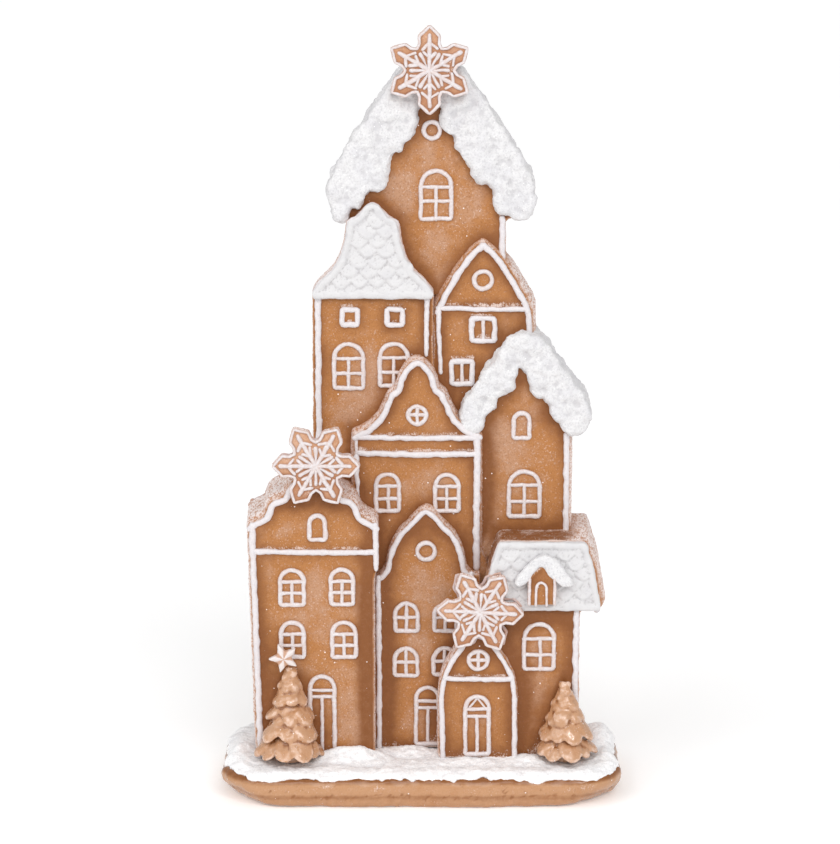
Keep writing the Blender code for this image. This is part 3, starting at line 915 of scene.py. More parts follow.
def sugared_colour(w, colour, brown, sugar, relief):
    """The crust's colour under its mottle, haze, dust, dashes and sparks of sugar; on the tray the dust also
    paints a highlight band.
    """
    dust = tuple(biscuit().dust)
    bare = w.spread(w.attribute("stain"), 0, 0.7, 1, 0.08)
    mottle = w.patches(1.9 * MM, 2, 0.5, 0.7, 0, 0.4 * relief, 0.6)
    colour = w.mix(w.times(mottle, bare), colour, brown)
    haze = w.patches(1.1 * MM, 1, 0.42, 0.28, 0, 0.3 * relief, 0.7)
    colour = w.mix(w.times(haze, bare), colour, dust)
    side = w.attribute("side")
    colour = w.mix(w.times(side, 0.6), colour, SIDE_CRUST)
    colour = w.mix(sugar, colour, dust)
    colour = w.mix(w.times(w.effect(dashes)["Mask"], side), colour, SUGAR_DASH)
    few = w.effect(glitter, {"Share": 0.013, "Size": 1.7 * MM})["Mask"]
    many = w.effect(glitter, {"Share": 0.05, "Size": 0.8 * MM})["Mask"]
    clouded = w.times(w.patches(9 * MM, 3, 0.46, 0.62, 0, 0.75), bare)
    return w.mix(w.math("MAXIMUM", few, w.times(many, clouded)), colour, SUGAR_SPARK)


def biscuit_material(name, tones, dusty=1.0, pores=0.5, gloss=0.5, relief=1.0):
    """Baked gingerbread with sugar on it. The tones are light, brown and dark."""
    made, w, shader = new_material(name)
    light, brown, dark = (tuple(tone) for tone in tones)
    baked = w.effect(crumb, {"Pores": pores})
    colour = baked_colour(w, baked["Tone"], light, brown, dark, relief)
    # On the tray this also paints a highlight band along the bulge.
    amount = w.times(w.attribute("dust"), dusty)
    sugar = w.times(w.effect(dusting, {"Amount": amount})["Mask"], w.spread(amount, 0.02, 0.5, 0.35, 0.85))
    colour = sugared_colour(w, colour, brown, sugar, relief)
    satin = w.plus(w.plus(gloss, w.times(baked["Height"], 0.15)), w.times(sugar, 0.2))
    shader.inputs["Specular IOR Level"].default_value = 0.4
    height = w.plus(baked["Height"], w.times(sugar, 0.6))
    dress(w, shader, colour, satin, height, 0.22 * MM, 0.55 * relief)
    return made


def icing_material(name):
    """Piped icing: satin white, a little grey and brown where it meets the biscuit, partly biscuit showing
    through and partly painted shade.
    """
    made, w, shader = new_material(name)
    cool_white = (0.64, 0.635, 0.68)
    biscuit_brown = (0.50, 0.29, 0.21)
    thin_brown = (0.62, 0.48, 0.43)
    fleck_grey = (0.56, 0.51, 0.53)
    crest = w.attribute("crest")
    white = w.mix(w.patches(3 * MM, 3, 0.35, 0.7, 0, 0.45), tuple(icing().white), cool_white)
    through = w.times(w.attribute("thin"), w.patches(1.6 * MM, 3, 0.33, 0.62, 0.2, 1))
    through = w.times(through, w.spread(crest, 0.5, 1.0, 1.0, 0.55))
    white = w.mix(through, white, thin_brown)
    white = w.mix(w.patches(0.9 * MM, 2, 0.52, 0.68, 0, 0.4, 0.7), white, fleck_grey)
    # Where the icing meets the wall: partly biscuit showing through, partly painted shade.
    foot_colour = w.mix(w.patches(5 * MM, 2, 0.4, 0.6), tuple(icing().foot), biscuit_brown)
    foot_tint_and_shade = w.times(w.spread(crest, 0.0, 0.6, 1, 0), w.patches(2.2 * MM, 3, 0.3, 0.65, 0.35, 1.0))
    satin = w.patches(1.5 * MM, 2, 0.3, 0.7, 0.38, 0.55)
    dress(w, shader, w.mix(foot_tint_and_shade, white, foot_colour), satin, w.noise(1.1 * MM, 3), 0.35 * MM, 0.6)
    return made


def snow_material(name, white, shade_and_grit=1.0):
    """Snow icing: matt white grit, with painted shade in its pits and low on its lumps, and a few bright
    grains.
    """
    made, w, shader = new_material(name)
    colour = tuple(white)
    for share, grey in (
        # Painted shade: greyer in the hollows. The greys below it are random grit and patches.
        (w.spread(w.attribute("hollow"), 0.5, 1.0, 0, 0.55 * shade_and_grit), (0.50, 0.485, 0.50)),
        (w.patches(11 * MM, 3, 0.4, 0.68, 0, 0.45 * shade_and_grit), (0.62, 0.61, 0.64)),
        (w.patches(1.1 * MM, 2, 0.48, 0.64, 0, 0.55 * shade_and_grit, 0.7), (0.54, 0.53, 0.545)),
        (w.patches(2.2 * MM, 2, 0.66, 0.76, 0, 0.2 * shade_and_grit, 0.7), (0.52, 0.50, 0.50)),
    ):
        colour = w.mix(share, colour, grey)
    spark = w.effect(glitter, {"Share": 0.09, "Size": 1.3 * MM})["Mask"]
    colour = w.mix(spark, colour, (0.97, 0.97, 0.97))
    grit = w.plus(w.noise(1.0 * MM, 3, 0.65), w.times(w.noise(3.2 * MM, 3), 1.8))
    dress(w, shader, colour, w.minus(0.75, w.times(spark, 0.5)), grit, 0.8 * MM, 0.6)
    return made


def tile_material(name):
    """Icing tiles: satin white, with painted shade in the grooves."""
    made, w, shader = new_material(name)
    white = (0.655, 0.645, 0.65)
    groove_grey = (0.36, 0.34, 0.345)
    patch_grey = (0.575, 0.565, 0.585)
    fleck_grey = (0.60, 0.585, 0.59)
    # Painted shade in the grooves under the tiles' edges.
    groove_shade = w.spread(w.attribute("hollow"), 0.53, 0.8, 0, 0.6)
    colour = w.mix(w.times(groove_shade, w.patches(4 * MM, 3, 0.35, 0.6, 0.35, 1)), white, groove_grey)
    colour = w.mix(w.patches(6 * MM, 3, 0.42, 0.7, 0, 0.4), colour, patch_grey)
    colour = w.mix(w.patches(0.9 * MM, 2, 0.5, 0.68, 0, 0.3, 0.7), colour, fleck_grey)
    dress(w, shader, colour, w.patches(2 * MM, 2, 0.3, 0.7, 0.4, 0.6), w.noise(1.4 * MM, 3), 0.3 * MM, 0.4)
    return made


def tree_material(name):
    """Glazed biscuit: pale tan, shiny, with painted brown shade between the lobes, and dusted on their edges.
    """
    made, w, shader = new_material(name)
    tan = (0.50, 0.255, 0.125)
    valley_brown = (0.25, 0.085, 0.02)
    ridge_dust = (0.80, 0.58, 0.46)
    spark_white = (0.95, 0.9, 0.87)
    colour = w.mix(w.effect(crumb, {"Pores": 0.2})["Tone"], tan, tuple(biscuit().tree))
    hollow = w.attribute("hollow")
    # Painted shade: brown in the hollows between the lobes.
    colour = w.mix(w.spread(hollow, 0.5, 0.95, 0, 0.9), colour, valley_brown)
    ridge = w.times(w.spread(hollow, 0.35, 0.05, 0, 0.7), w.patches(4 * MM, 3, 0.42, 0.62))
    colour = w.mix(ridge, colour, ridge_dust)
    colour = w.mix(w.effect(glitter, {"Share": 0.05, "Size": 1.4 * MM})["Mask"], colour, spark_white)
    shader.inputs["Coat Weight"].default_value = 0.6
    shader.inputs["Coat Roughness"].default_value = 0.12
    dress(w, shader, colour, w.patches(3 * MM, 2, 0.35, 0.7, 0.2, 0.42), w.noise(1.6 * MM, 3), 0.3 * MM, 0.4)
    return made


def star_material(name):
    """White-glazed biscuit, brown in the star's valleys."""
    made, w, shader = new_material(name)
    valley_brown = (0.52, 0.30, 0.20)
    ridge_white = (0.74, 0.67, 0.65)
    ridge = w.plus(w.attribute("ridge"), w.swing(w.noise(1.5 * MM, 3), 0.7))
    colour = w.mix(w.spread(ridge, 0.15, 0.7), valley_brown, ridge_white)
    dress(w, shader, colour, w.patches(2 * MM, 2, 0.3, 0.7, 0.3, 0.5), w.noise(1.2 * MM, 3), 0.3 * MM, 0.4)
    return made


def sugar_material(name):
    made, w, shader = new_material(name)
    colour = w.mix(w.noise(2 * MM, 2), (0.95, 0.93, 0.92), (0.86, 0.80, 0.78))
    dress(w, shader, colour, w.patches(1 * MM, 2, 0.3, 0.7, 0.15, 0.4))
    return made


def material(name, make, *args):
    """The material of that name, made on first use."""
    return bpy.data.materials.get(name) or make(name, *args)


def wall_material():
    look = biscuit()
    return material("gingerbread", biscuit_material, (look.light, look.brown, look.dark))


# ---------------------------------------------------------------- stains, dust and painted shade

def store_hollows(obj, size, rounds=1):
    """Keeps how hollow the surface is at each point: 1 in hollows, 0 on ridges and 0.5 where it is flat.

    More rounds look further round each point.
    """
    points, normals = points_of(obj), normals_of(obj)
    ends = np.empty(len(obj.data.edges) * 2, np.int32)
    obj.data.edges.foreach_get("vertices", ends)
    ends = ends.reshape(-1, 2)
    near, far = np.concatenate([ends, ends[:, ::-1]]).T
    count = np.maximum(np.bincount(near, minlength=len(points)), 1)[:, None]
    mean = points
    for _ in range(rounds):
        sums = [np.bincount(near, mean[far, axis], len(points)) for axis in range(3)]
        mean = np.stack(sums, axis=1) / count
    bend = np.einsum("ij,ij->i", mean - points, normals) / size
    store(obj, "hollow", np.clip(0.5 + bend, 0, 1))


def fade(distance, reach, power=1):
    """1 at no distance, and less and less further away."""
    return np.exp(-((distance / reach) ** power))


def burns(points, front):
    """How much the house's own patches of darker paint and painted shadow darken each point; patches of
    negative strength lighten it as painted light.
    """
    dark = np.zeros(len(points))
    for x, z, wide, tall, amount in front.burnt:
        away = ((points[:, 0] / MM - front.centre - x) / wide) ** 2 + ((points[:, 2] / MM - z) / tall) ** 2
        dark += amount * np.exp(-away)
    return dark


def gaps(points, node, reach):
    """How far each point is from the nearest other piece but a tiled roof, up to reach."""
    others = bmesh.new()
    for name, other in frame["nodes"].items():
        if name != node and not name.startswith("tiles_"):
            others.from_mesh(other.data)
    neighbours = BVHTree.FromBMesh(others)
    others.free()
    return np.array([neighbours.find_nearest(p, reach)[3] or reach for p in points])


def house_wear(points, front, burnt, side, flat, cloud, stain, dust):
    """What a house adds: its patches of darker paint, painted shadow and painted light, snowed foot, frosted
    top, and sides without dashes.
    """
    stain = (stain + burnt) * (points[:, 2] < front.frosted * MM)
    dust += 0.45 * fade(points[:, 2] - FLOOR_MM * MM, 11 * MM)
    dust *= 1 - 0.9 * np.clip(burnt, 0, 1)
    dust += 0.5 * (points[:, 2] > front.frosted * MM)
    across = points[:, 0] / MM - front.centre
    dashed = step_between(front.plain - 4, front.plain + 4, across + 8 * cloud)
    bare = (1 - dashed) * side * (points[:, 2] > (front.plumb + 20) * MM)
    return stain * flat + 0.9 * bare, dust + 0.3 * bare, dashed


def store_wear(obj, node, beads, front=None):
    """Keeps where the biscuit is darker beside its icing, where painted shade darkens it next to other
    pieces, and where sugar dust lies, from what is near each point.
    """
    points, normals = points_of(obj), normals_of(obj)
    from_line, above_line = distances(points, [p for b in beads for p in b.outlines], 20 * MM)
    from_detail, _ = distances(points, [p for b in beads for p in b.details], 20 * MM)
    gap = gaps(points, node, 16 * MM)
    cloud = np.array([noise.noise(Vector(p) / (24 * MM)) for p in points])
    side = step_between(0.35, 0.75, 1 - np.abs(normals[:, 1]))
    flat = step_between(0.72, 0.95, np.abs(normals[:, 1]))
    burnt = burns(points, front) if front else np.zeros(len(points))
    beside = fade(from_line, 12 * MM, 2) + 0.5 * fade(from_detail, 3.2 * MM)
    # Painted shade: the wall turns browner next to other pieces, and patches of negative strength paint it
    # lighter in deep crevices.
    edge = beside + 0.8 * fade(gap, 12 * MM) + 0.45 * cloud + np.minimum(burnt, 0)
    stain = (0.62 + 1.1 * np.maximum(cloud, 0)) * fade(from_line, 5.2 * MM, 1.5)
    # Darker beside the thin lines, partly as painted shade in the window panes.
    stain += 0.36 * fade(np.maximum(from_detail - 1.2 * MM, 0), 1.3 * MM)
    # Painted shade: darker still next to other pieces, such as under the snow and between the houses.
    stain += 0.95 * fade(gap, 6.5 * MM, 1.3)
    near_top = (above_line > 0.75 * from_line) & (from_line < 6 * MM)
    dust = 0.12 * side + 0.4 * (1 - flat) * (1 - side)
    dust += np.where(near_top, 0.6 * fade(from_line - 1.8 * MM, 2 * MM, 2), 0)
    dust += 0.18 * fade(gap, 6 * MM) + 0.3 * np.abs(cloud)
    dashed = 1.0
    if front:
        stain, dust, dashed = house_wear(points, front, burnt, side, flat, cloud, stain, dust)
    store(obj, "edge", np.clip(edge, 0, 1))
    store(obj, "stain", np.clip(stain, 0, 1))
    store(obj, "dust", np.clip(dust, 0, 1))
    store(obj, "side", side * (1 - 0.85 * fade(gap, 3.5 * MM)) * dashed)


SHINGLE_ROW, SHINGLE_WIDTH = 4.6 * MM, 5.2 * MM
SHINGLE_LIP = 0.18  # the part of a row in which a small scale rises to its edge


def shingle_sides(obj, depth):
    """Presses rows of small scales into the surfaces that face sideways or up, between front and back."""
    points, normals = points_of(obj), normals_of(obj)
    side = step_between(0.5, 0.85, 1 - np.abs(normals[:, 1]))
    rows = (points[:, 2] + 0.35 * np.abs(points[:, 0])) / SHINGLE_ROW
    columns = points[:, 1] / SHINGLE_WIDTH + 0.5 * np.floor(rows)
    curve = 0.22 * np.cos(2 * math.pi * columns)
    drop = (rows + curve) % 1.0
    raised = np.where(drop < SHINGLE_LIP, drop / SHINGLE_LIP, 1 - (drop - SHINGLE_LIP) / (1 - SHINGLE_LIP))
    move_points(obj, points + normals * (side * (raised - 0.5) * depth)[:, None])


# ---------------------------------------------------------------- houses, roofs and tiles

HOUSES = (
    top_house,
    upper_left_house,
    upper_right_house,
    bell_gable_house,
    tower_house,
    front_left_house,
    front_middle_house,
    front_right_house,
    chapel_house,
    dormer_house,
)
SEEN_FROM_BEHIND = (
    "house_top",
    "house_upper_left",
    "house_upper_right",
    "house_tower",
    "house_front_left",
    "house_front_right",
)


def lay_icing(node, beads, *layers):
    """Makes the pieces of icing on a piece's front and, where there is any, on its back."""
    for side, piped in zip(("front", "back"), beads):
        lines = roughen(piped.build(f"{node}_icing_{side}"), *layers)
        finish_piece(lines, material("piped_icing", icing_material), "icing")


def make_house(front, seed):
    """One house: its baked body, and the icing on its front and, where it shows, on its back."""
    body = soften(front.body(), biscuit().grid, 4)
    shingle_sides(body, 0.4 * MM)
    roughen(body, (14 * MM, biscuit().dents), (3.5 * MM, biscuit().dents / 4))
    facings = [FRONT, BACK] if front.node in SEEN_FROM_BEHIND else [FRONT]
    beads = [front.pipe(facing, seed + 100 * i) for i, facing in enumerate(facings)]
    store_hollows(body, 0.35 * MM)
    store_wear(body, front.node, beads, front)
    finish_piece(body, wall_material(), "biscuit", front.node)
    lay_icing(front.node, beads, (2.2 * MM, 0.28 * MM))


def prism(name, outline, front, back):
    """A closed solid from an outline of X and Z, from one depth to another."""
    bm = bmesh.new()
    face = bm.faces.new([bm.verts.new((x * MM, front, z * MM)) for x, z in outline])
    made = bmesh.ops.extrude_face_region(bm, geom=[face])["geom"]
    for vertex in made:
        if isinstance(vertex, bmesh.types.BMVert):
            vertex.co.y = back
    bmesh.ops.triangulate(bm, faces=bm.faces)
    return from_bmesh(name, bm)


def snow_roof(node, outline, rounds, swell, lumps=1.0):
    """Thick snow with the given outline: fused, rounded, lumpy and gritty."""
    depth = icing().lumps * lumps
    low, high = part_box(node)
    snow = prism(node + "_lumpy", outline, low.y + 1.2 * MM, high.y - 1.2 * MM)
    soften(snow, icing().snow_grid, rounds)
    push = snow.modifiers.new("swell", "DISPLACE")
    push.strength = swell
    push.mid_level = 0
    roughen(snow, (11 * MM, depth * 1.4), (5 * MM, depth * 0.85), (2 * MM, depth * 0.28))
    store_hollows(snow, 1.1 * MM, 14)
    return finish_piece(snow, material("roof_snow", snow_material, icing().snow), "snow_icing", node)


def snow_outline(centre, outer, inner):
    """Roof snow from its even outer line, given from the eave to the top, and its ragged inner one."""
    half = smooth_line(outer, 3)
    left = [(centre - x, z) for x, z in half]
    right = [(centre + x, z) for x, z in reversed(half[:-1])]
    return right + smooth_line(inner, 2)[::-1] + left


def top_snow():
    eave = [(44.5, 302), (50, 304.5), (53.4, 312), (53, 321)]
    outer = eave + [(48, 332), (35, 353), (20.5, 374), (9, 385), (0, 388)]
    drips = [(-38.5, 307), (-36.9, 310.6), (-33.2, 309.4), (-30.1, 313.6), (-27.9, 320), (-22.7, 317)]
    drips += [(-19.6, 320), (-20.1, 325), (-17.5, 330), (-15.9, 335.6), (-10.7, 338.6), (-9.1, 344)]
    drips += [(-5, 346.4), (-2.9, 355), (-2.4, 361), (4.5, 367)]
    drips += [(10.6, 362), (11.1, 355), (11.2, 349.4), (17.4, 346), (19, 339.6), (23.2, 333.2)]
    drips += [(27.9, 330.4), (27.4, 325.6), (30, 322), (34.2, 323), (37.8, 319.6), (38.4, 311.4), (41, 307)]
    return snow_outline(5.2, outer, drips)


def tower_snow():
    eave = [(27, 189.6), (31.6, 191.8), (34.3, 199), (32.2, 207)]
    outer = eave + [(26.6, 215.6), (17, 228), (8.8, 239.4), (0, 243.6)]
    drips = [(29.5, 193.4), (31.6, 194.6), (32.6, 199.4), (38.9, 203.4), (38.9, 208.6), (44.4, 212)]
    drips += [(48.2, 215.6), (49.2, 222), (51, 227), (55.6, 223), (58.1, 220), (58.6, 212.6)]
    drips += [(61.4, 209.2), (64.6, 211), (66.7, 207.6), (70.8, 199.2), (74.2, 197.8), (76.2, 192.6)]
    return snow_outline(55, outer, drips)


def dormer_snow():
    outer = [(13.2, 114.8), (15.2, 116.6), (12.4, 121.4), (5.5, 129.2), (0, 131.6)]
    inner = [(53.6, 115.8), (56.6, 119.2), (58.4, 122), (61.8, 126)]
    inner += [(65.2, 124), (66.8, 120.6), (69.6, 118.4), (74, 114.8)]
    return snow_outline(64, outer, inner)


SCALE_WIDTH, SCALE_HEIGHT, SCALE_PITCH = 9.6, 10, 5.2  # millimetres
SCALE_POINTS = 20
BLUNTNESS = 1.55  # 2 makes a round scale, and 1 a diamond


def scale_plate(bm, x, y, z, width, height):
    """One flat tile with a blunt point below, tilted so that its lower edge stands out."""
    turn = Matrix.Translation((x, y, z)) @ Matrix.Rotation(math.radians(-9), 4, "X")
    rims = []
    for depth, share in ((-0.55 * MM, 0.93), (-0.2 * MM, 1.0), (0.9 * MM, 1.0)):
        rim = []
        for i in range(SCALE_POINTS):
            angle = 2 * math.pi * i / SCALE_POINTS
            across, up = math.cos(angle), math.sin(angle)
            blunt = (abs(across) ** BLUNTNESS + abs(up) ** BLUNTNESS) ** (-1 / BLUNTNESS) * share
            spot = Vector((across * blunt * width / 2, depth, up * blunt * height / 2))
            rim.append(bm.verts.new(turn @ spot))
        rims.append(rim)
    bm.faces.new(rims[0])
    bm.faces.new(reversed(rims[-1]))
    for near, far in zip(rims, rims[1:]):
        for i in range(SCALE_POINTS):
            bm.faces.new((near[i], far[i], far[i - 1], near[i - 1]))


def inside(outline, x, z):
    """Whether the point lies inside the closed outline."""
    found = False
    for (ax, az), (bx, bz) in zip(outline, [*outline[1:], outline[0]]):
        if (az > z) != (bz > z) and x < (bx - ax) * (z - az) / (bz - az) + ax:
            found = not found
    return found


def add_scales(bm, outline, wall, rng):
    """Rows of scales inside the outline, every other row half a scale aside. The wall is a depth."""
    across, up = zip(*outline)
    left, bottom = min(across), min(up)
    for row in range(int((max(up) - bottom) / SCALE_PITCH) + 1):
        z = bottom + 5.6 + row * SCALE_PITCH
        start = left + (SCALE_WIDTH / 2 if row % 2 else 0)
        for i in range(int((max(across) - left) / SCALE_WIDTH) + 2):
            x = start + i * SCALE_WIDTH + rng.uniform(-0.4, 0.4)
            reach = 0.42 * SCALE_WIDTH
            if all(inside(outline, *spot) for spot in ((x - reach, z), (x + reach, z), (x, z + 4))):
                width = SCALE_WIDTH * rng.uniform(1.0, 1.12) * MM
                height = (z + rng.uniform(-0.4, 0.4)) * MM
                scale_plate(bm, x * MM, wall, height, width, SCALE_HEIGHT * MM)


def tile_border(outline, wall, border, foot_band, seed):
    """The raised line round a tiled roof, and the broader one along its foot. Sizes are in millimetres."""
    beads = Beads(seed)
    edge = inset(outline, border / 2)[1:-1]
    low = min(z for _, z in outline) + foot_band / 2
    foot = [(outline[0][0] + 1.5, low), (outline[-1][0] - 1.5, low)]
    for line, width, height in ((edge, border, 0.95), (foot, foot_band, 1.15)):
        path = [Vector((x * MM, wall, z * MM)) for x, z in line]
        beads.bead(path, width * MM, FRONT, height=height * MM)
    return beads


def tile_slab(node, outline, border, foot_band, seed):
    """A slab of overlapping scales inside a raised border, all in one soft skin."""
    low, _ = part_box(node)
    slab = copy_of(node, node + "_iced")
    bm = bmesh.new()
    bm.from_mesh(slab.data)
    add_scales(bm, outline, low.y + 0.2 * MM, random.Random(seed))
    bm.to_mesh(slab.data)
    bm.free()
    ring = tile_border(outline, low.y, border, foot_band, seed).build(node + "_border")
    bpy.ops.object.select_all(action="DESELECT")
    slab.select_set(True)
    ring.select_set(True)
    bpy.context.view_layer.objects.active = slab
    bpy.ops.object.join()
    soften(slab, 0.48 * MM, 4)
    roughen(slab, (6 * MM, 1.1 * MM), (2.4 * MM, 0.4 * MM))
    store_hollows(slab, 0.14 * MM)
    return finish_piece(slab, material("icing_tiles", tile_material), "white_tiles", node)


# ---------------------------------------------------------------- flakes, trees and star

# Each flake's middle (X and Z) and turn, in millimetres and degrees.
FLAKES = {
    "snowflake_top": (4.1, 380.6, 90),
    "snowflake_left": (-54.8, 178.8, 0),
    "snowflake_middle": (30.8, 101, -3),
}
# One arm of a flake's outline, and the notch after it: how far out, and how far aside.
FLAKE_ARM = ((13.6, -5.0), (17.3, -5.3), (22.4, 0), (17.3, 5.3), (13.6, 5.0))
FLAKE_NOTCH = 12.5
# A spoke's branches: how far out they start and end, and how far aside they end.
FLAKE_BRANCHES = ((6.2, 9.4, 2.9), (14.4, 11.2, 3.9))


def flake_icing(centre, turn, facing, seed):
    """The piped pattern of a flake: its outline, six branched spokes and six short ones."""
    beads = Beads(seed)
    rng = random.Random(seed)
    mirror = 1 if facing is FRONT else -1

    def at(arm, reach, side=0):
        angle = math.radians(60 * arm + turn)
        x = reach * math.cos(angle) - side * math.sin(angle)
        z = reach * math.sin(angle) + side * math.cos(angle)
        return centre + Vector((x * mirror * MM, 0, z * MM))

    outline = []
    for arm in range(6):
        outline += [at(arm, reach, side) for reach, side in FLAKE_ARM]
        outline.append(at(arm + 0.5, FLAKE_NOTCH))
    beads.bead(outline, 1.6 * MM, facing, closed=True)
    for arm in range(6):
        beads.bead([at(arm, 1), at(arm, rng.uniform(17, 18.4))], rng.uniform(2.2, 2.58) * MM, facing)
        for root, reach, side in FLAKE_BRANCHES:
            for sign in (-1, 1):
                end = at(arm, reach + rng.uniform(-0.7, 0.7), sign * side + rng.uniform(-0.5, 0.5))
                beads.bead([at(arm, root), end], rng.uniform(1.45, 2.0) * MM, facing)
        beads.bead([at(arm + 0.5, 9.4), at(arm + 0.5, 3)], 2.3 * MM, facing, taper=0.5)
    return beads


def make_flake(node, seed):
    low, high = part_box(node)
    x, z, turn = FLAKES[node]
    body = soften(copy_of(node, node + "_baked"), biscuit().fine_grid, 4)
    roughen(body, (6 * MM, 0.5 * MM))
    front = flake_icing(Vector((x * MM, low.y, z * MM)), turn, FRONT, seed)
    back = flake_icing(Vector((x * MM, high.y, z * MM)), turn, BACK, seed + 50)
    store_hollows(body, 0.2 * MM)
    store_wear(body, node, (front, back))
    crust = material("gingerbread_flake", biscuit_material, FLAKE_CRUST, 2.2)
    finish_piece(body, crust, "biscuit", node)
    lay_icing(node, (front, back), (2 * MM, 0.3 * MM))


# Each tree's middle (X and Y), its tiers from the foot up (the height of their tips, their reach and
# their number of lobes), and its seed, in millimetres.
TREES = {
    "fir_tree_left": (
        (-69.4, -25.5),
        ((20.4, 18.8, 10), (29.8, 16.4, 9), (39.4, 12.8, 8), (48.8, 9.6, 7), (56.6, 6.4, 6), (62.5, 3.6, 4)),
        3,
    ),
    "fir_tree_right": (
        (76, -24.5),
        ((20.2, 17.6, 9), (29.2, 14.4, 8), (38.2, 10.6, 7), (46, 7.4, 6), (52.5, 4.2, 4)),
        5,
    ),
}


def petal(bm, centre, angle, tip_radius, tip_z, length, width, thick, droop):
    """One rounded lobe that hangs outwards from the trunk, its tip at the given place."""
    out = Vector((math.cos(angle), math.sin(angle), 0))
    middle = centre + out * (tip_radius - 0.5 * length * math.cos(droop))
    middle.z = tip_z + 0.5 * length * math.sin(droop) + 0.4 * thick
    turn = Matrix.Rotation(angle, 4, "Z") @ Matrix.Rotation(droop, 4, "Y")
    size = Matrix.Diagonal((length / 2, width / 2, thick / 2, 1))
    place = Matrix.Translation(middle) @ turn @ size
    bmesh.ops.create_uvsphere(bm, u_segments=14, v_segments=10, radius=1, matrix=place)


def add_tier(bm, centre, number, z, above, reach, count, rng):
    """Two layers of lobes round the trunk, the upper one shorter and between the lower one's."""
    for layer in range(2):
        share = 1 - 0.3 * layer
        for i in range(count):
            angle = 2 * math.pi * (i + 0.5 * ((number + layer) % 2)) / count + rng.uniform(-0.2, 0.2)
            far = reach * share * rng.uniform(0.86, 1.06) * MM
            length = (0.85 * far + 1.8 * MM) * rng.uniform(0.9, 1.1)
            width = 2 * math.pi * far / count * rng.uniform(0.95, 1.15)
            height = (z + layer * 0.5 * (above - z) + rng.uniform(-1.2, 1.0)) * MM
            thick = rng.uniform(3.8, 5) * MM
            droop = math.radians(rng.uniform(38, 56))
            petal(bm, centre, angle, far, height, length, width, thick, droop)


def make_tree(node):
    """A fir of overlapping lobes round a tapered trunk."""
    (x, y), tiers, seed = TREES[node]
    rng = random.Random(seed)
    low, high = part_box(node)
    centre = Vector((x * MM, y * MM, 0))
    bm = bmesh.new()
    trunk = {"radius1": 0.4 * tiers[0][1] * MM, "radius2": 0.8 * MM, "depth": high.z - low.z}
    place = Matrix.Translation((centre.x, centre.y, (low.z + high.z) / 2))
    bmesh.ops.create_cone(bm, cap_ends=True, segments=20, matrix=place, **trunk)
    heights = [z for z, _, _ in tiers]
    heights.append(heights[-1] + 8)
    for number, (z, reach, count) in enumerate(tiers):
        add_tier(bm, centre, number, z, heights[number + 1], reach, count, rng)
    tree = from_bmesh(node + "_glazed", bm)
    soften(tree, biscuit().fine_grid, 2)
    roughen(tree, (5 * MM, 1.1 * MM))
    store_hollows(tree, 0.7 * MM, 7)
    return finish_piece(tree, material("glazed_tree", tree_material), "tree_biscuit", node)


STAR_MIDDLE = (-72.4 * MM, 76.2 * MM)  # X and Z
STAR_TURN = math.radians(112)


def make_star():
    """The star on the left tree: a ridge to every point, whitened, with brown valleys."""
    star = copy_of("star", "star_faceted")
    edge = star.modifiers.new("soft_edges", "BEVEL")
    edge.width = 0.5 * MM
    edge.segments = 2
    edge.limit_method = "ANGLE"
    edge.angle_limit = math.radians(20)
    fine = star.modifiers.new("fine", "SUBSURF")
    fine.subdivision_type = "SIMPLE"
    fine.levels = fine.render_levels = 2
    roughen(star, (2.4 * MM, 0.6 * MM))
    points = points_of(star)
    x, z = STAR_MIDDLE
    angles = np.arctan2(points[:, 2] - z, points[:, 0] - x) - STAR_TURN
    store(star, "ridge", 0.5 + 0.5 * np.cos(5 * angles))
    return finish_piece(star, material("star_biscuit", star_material), "biscuit", "star")


# ---------------------------------------------------------------- tray

def make_tray():
    tray = soften(copy_of("tray", "tray_baked"), biscuit().grid, 5)
    points = points_of(tray)
    around = np.arctan2(points[:, 1] * 2, points[:, 0])
    low = step_between(0.5 * MM, 4 * MM, points[:, 2]) * (1 - step_between(9 * MM, 13 * MM, points[:, 2]))
    wave = 0.8 * MM * np.sin(7 * around + 1) + 0.5 * MM * np.sin(17 * around)
    points[:, 2] += low * wave
    move_points(tray, points)
    roughen(tray, (15 * MM, 2.4 * MM), (5 * MM, 0.9 * MM))
    points = points_of(tray)
    points[:, 2] = np.maximum(points[:, 2], 0)
    move_points(tray, points)
    store_hollows(tray, 0.3 * MM)
    store_tray_wear(tray)
    crust = material("tray_crust", biscuit_material, (*TRAY_CRUST, biscuit().dark), 0.9, 0.1, 0.12, 0.3)
    return finish_piece(tray, crust, "biscuit", "tray")


def store_tray_wear(tray):
    """Paints shade into the groove and a shadow under the snow's lip on the shoulder, darkens the foot, and
    keeps patches of sugar dust with a painted highlight on the bulge, and sugar dust at the foot.
    """
    points = points_of(tray)
    height = points[:, 2]
    # Painted shade in the groove, and painted shadow under the snow's lip on the shoulder; the foot is darker
    # towards the bottom.
    groove_shade = fade(height - 6.2 * MM, 1.3 * MM, 2)
    snow_lip_shadow = step_between(11.5 * MM, 14.5 * MM, height)
    foot = 1 - step_between(4 * MM, 6.5 * MM, height)
    store(tray, "stain", np.clip(0.6 * groove_shade + 0.9 * snow_lip_shadow + 0.3 * foot, 0, 1))
    below = 1 - step_between(4 * MM, 7 * MM, height)
    # Partly sugar dust, partly a painted highlight band along the bulge.
    bulge_dust_and_sheen = fade(height - 11 * MM, 3 * MM, 2)
    patches = np.array([max(0.0, noise.noise(Vector(p) / (13 * MM))) for p in points])
    store(tray, "dust", np.clip(0.3 * below + 0.08 + 1.1 * bulge_dust_and_sheen * patches, 0, 1))


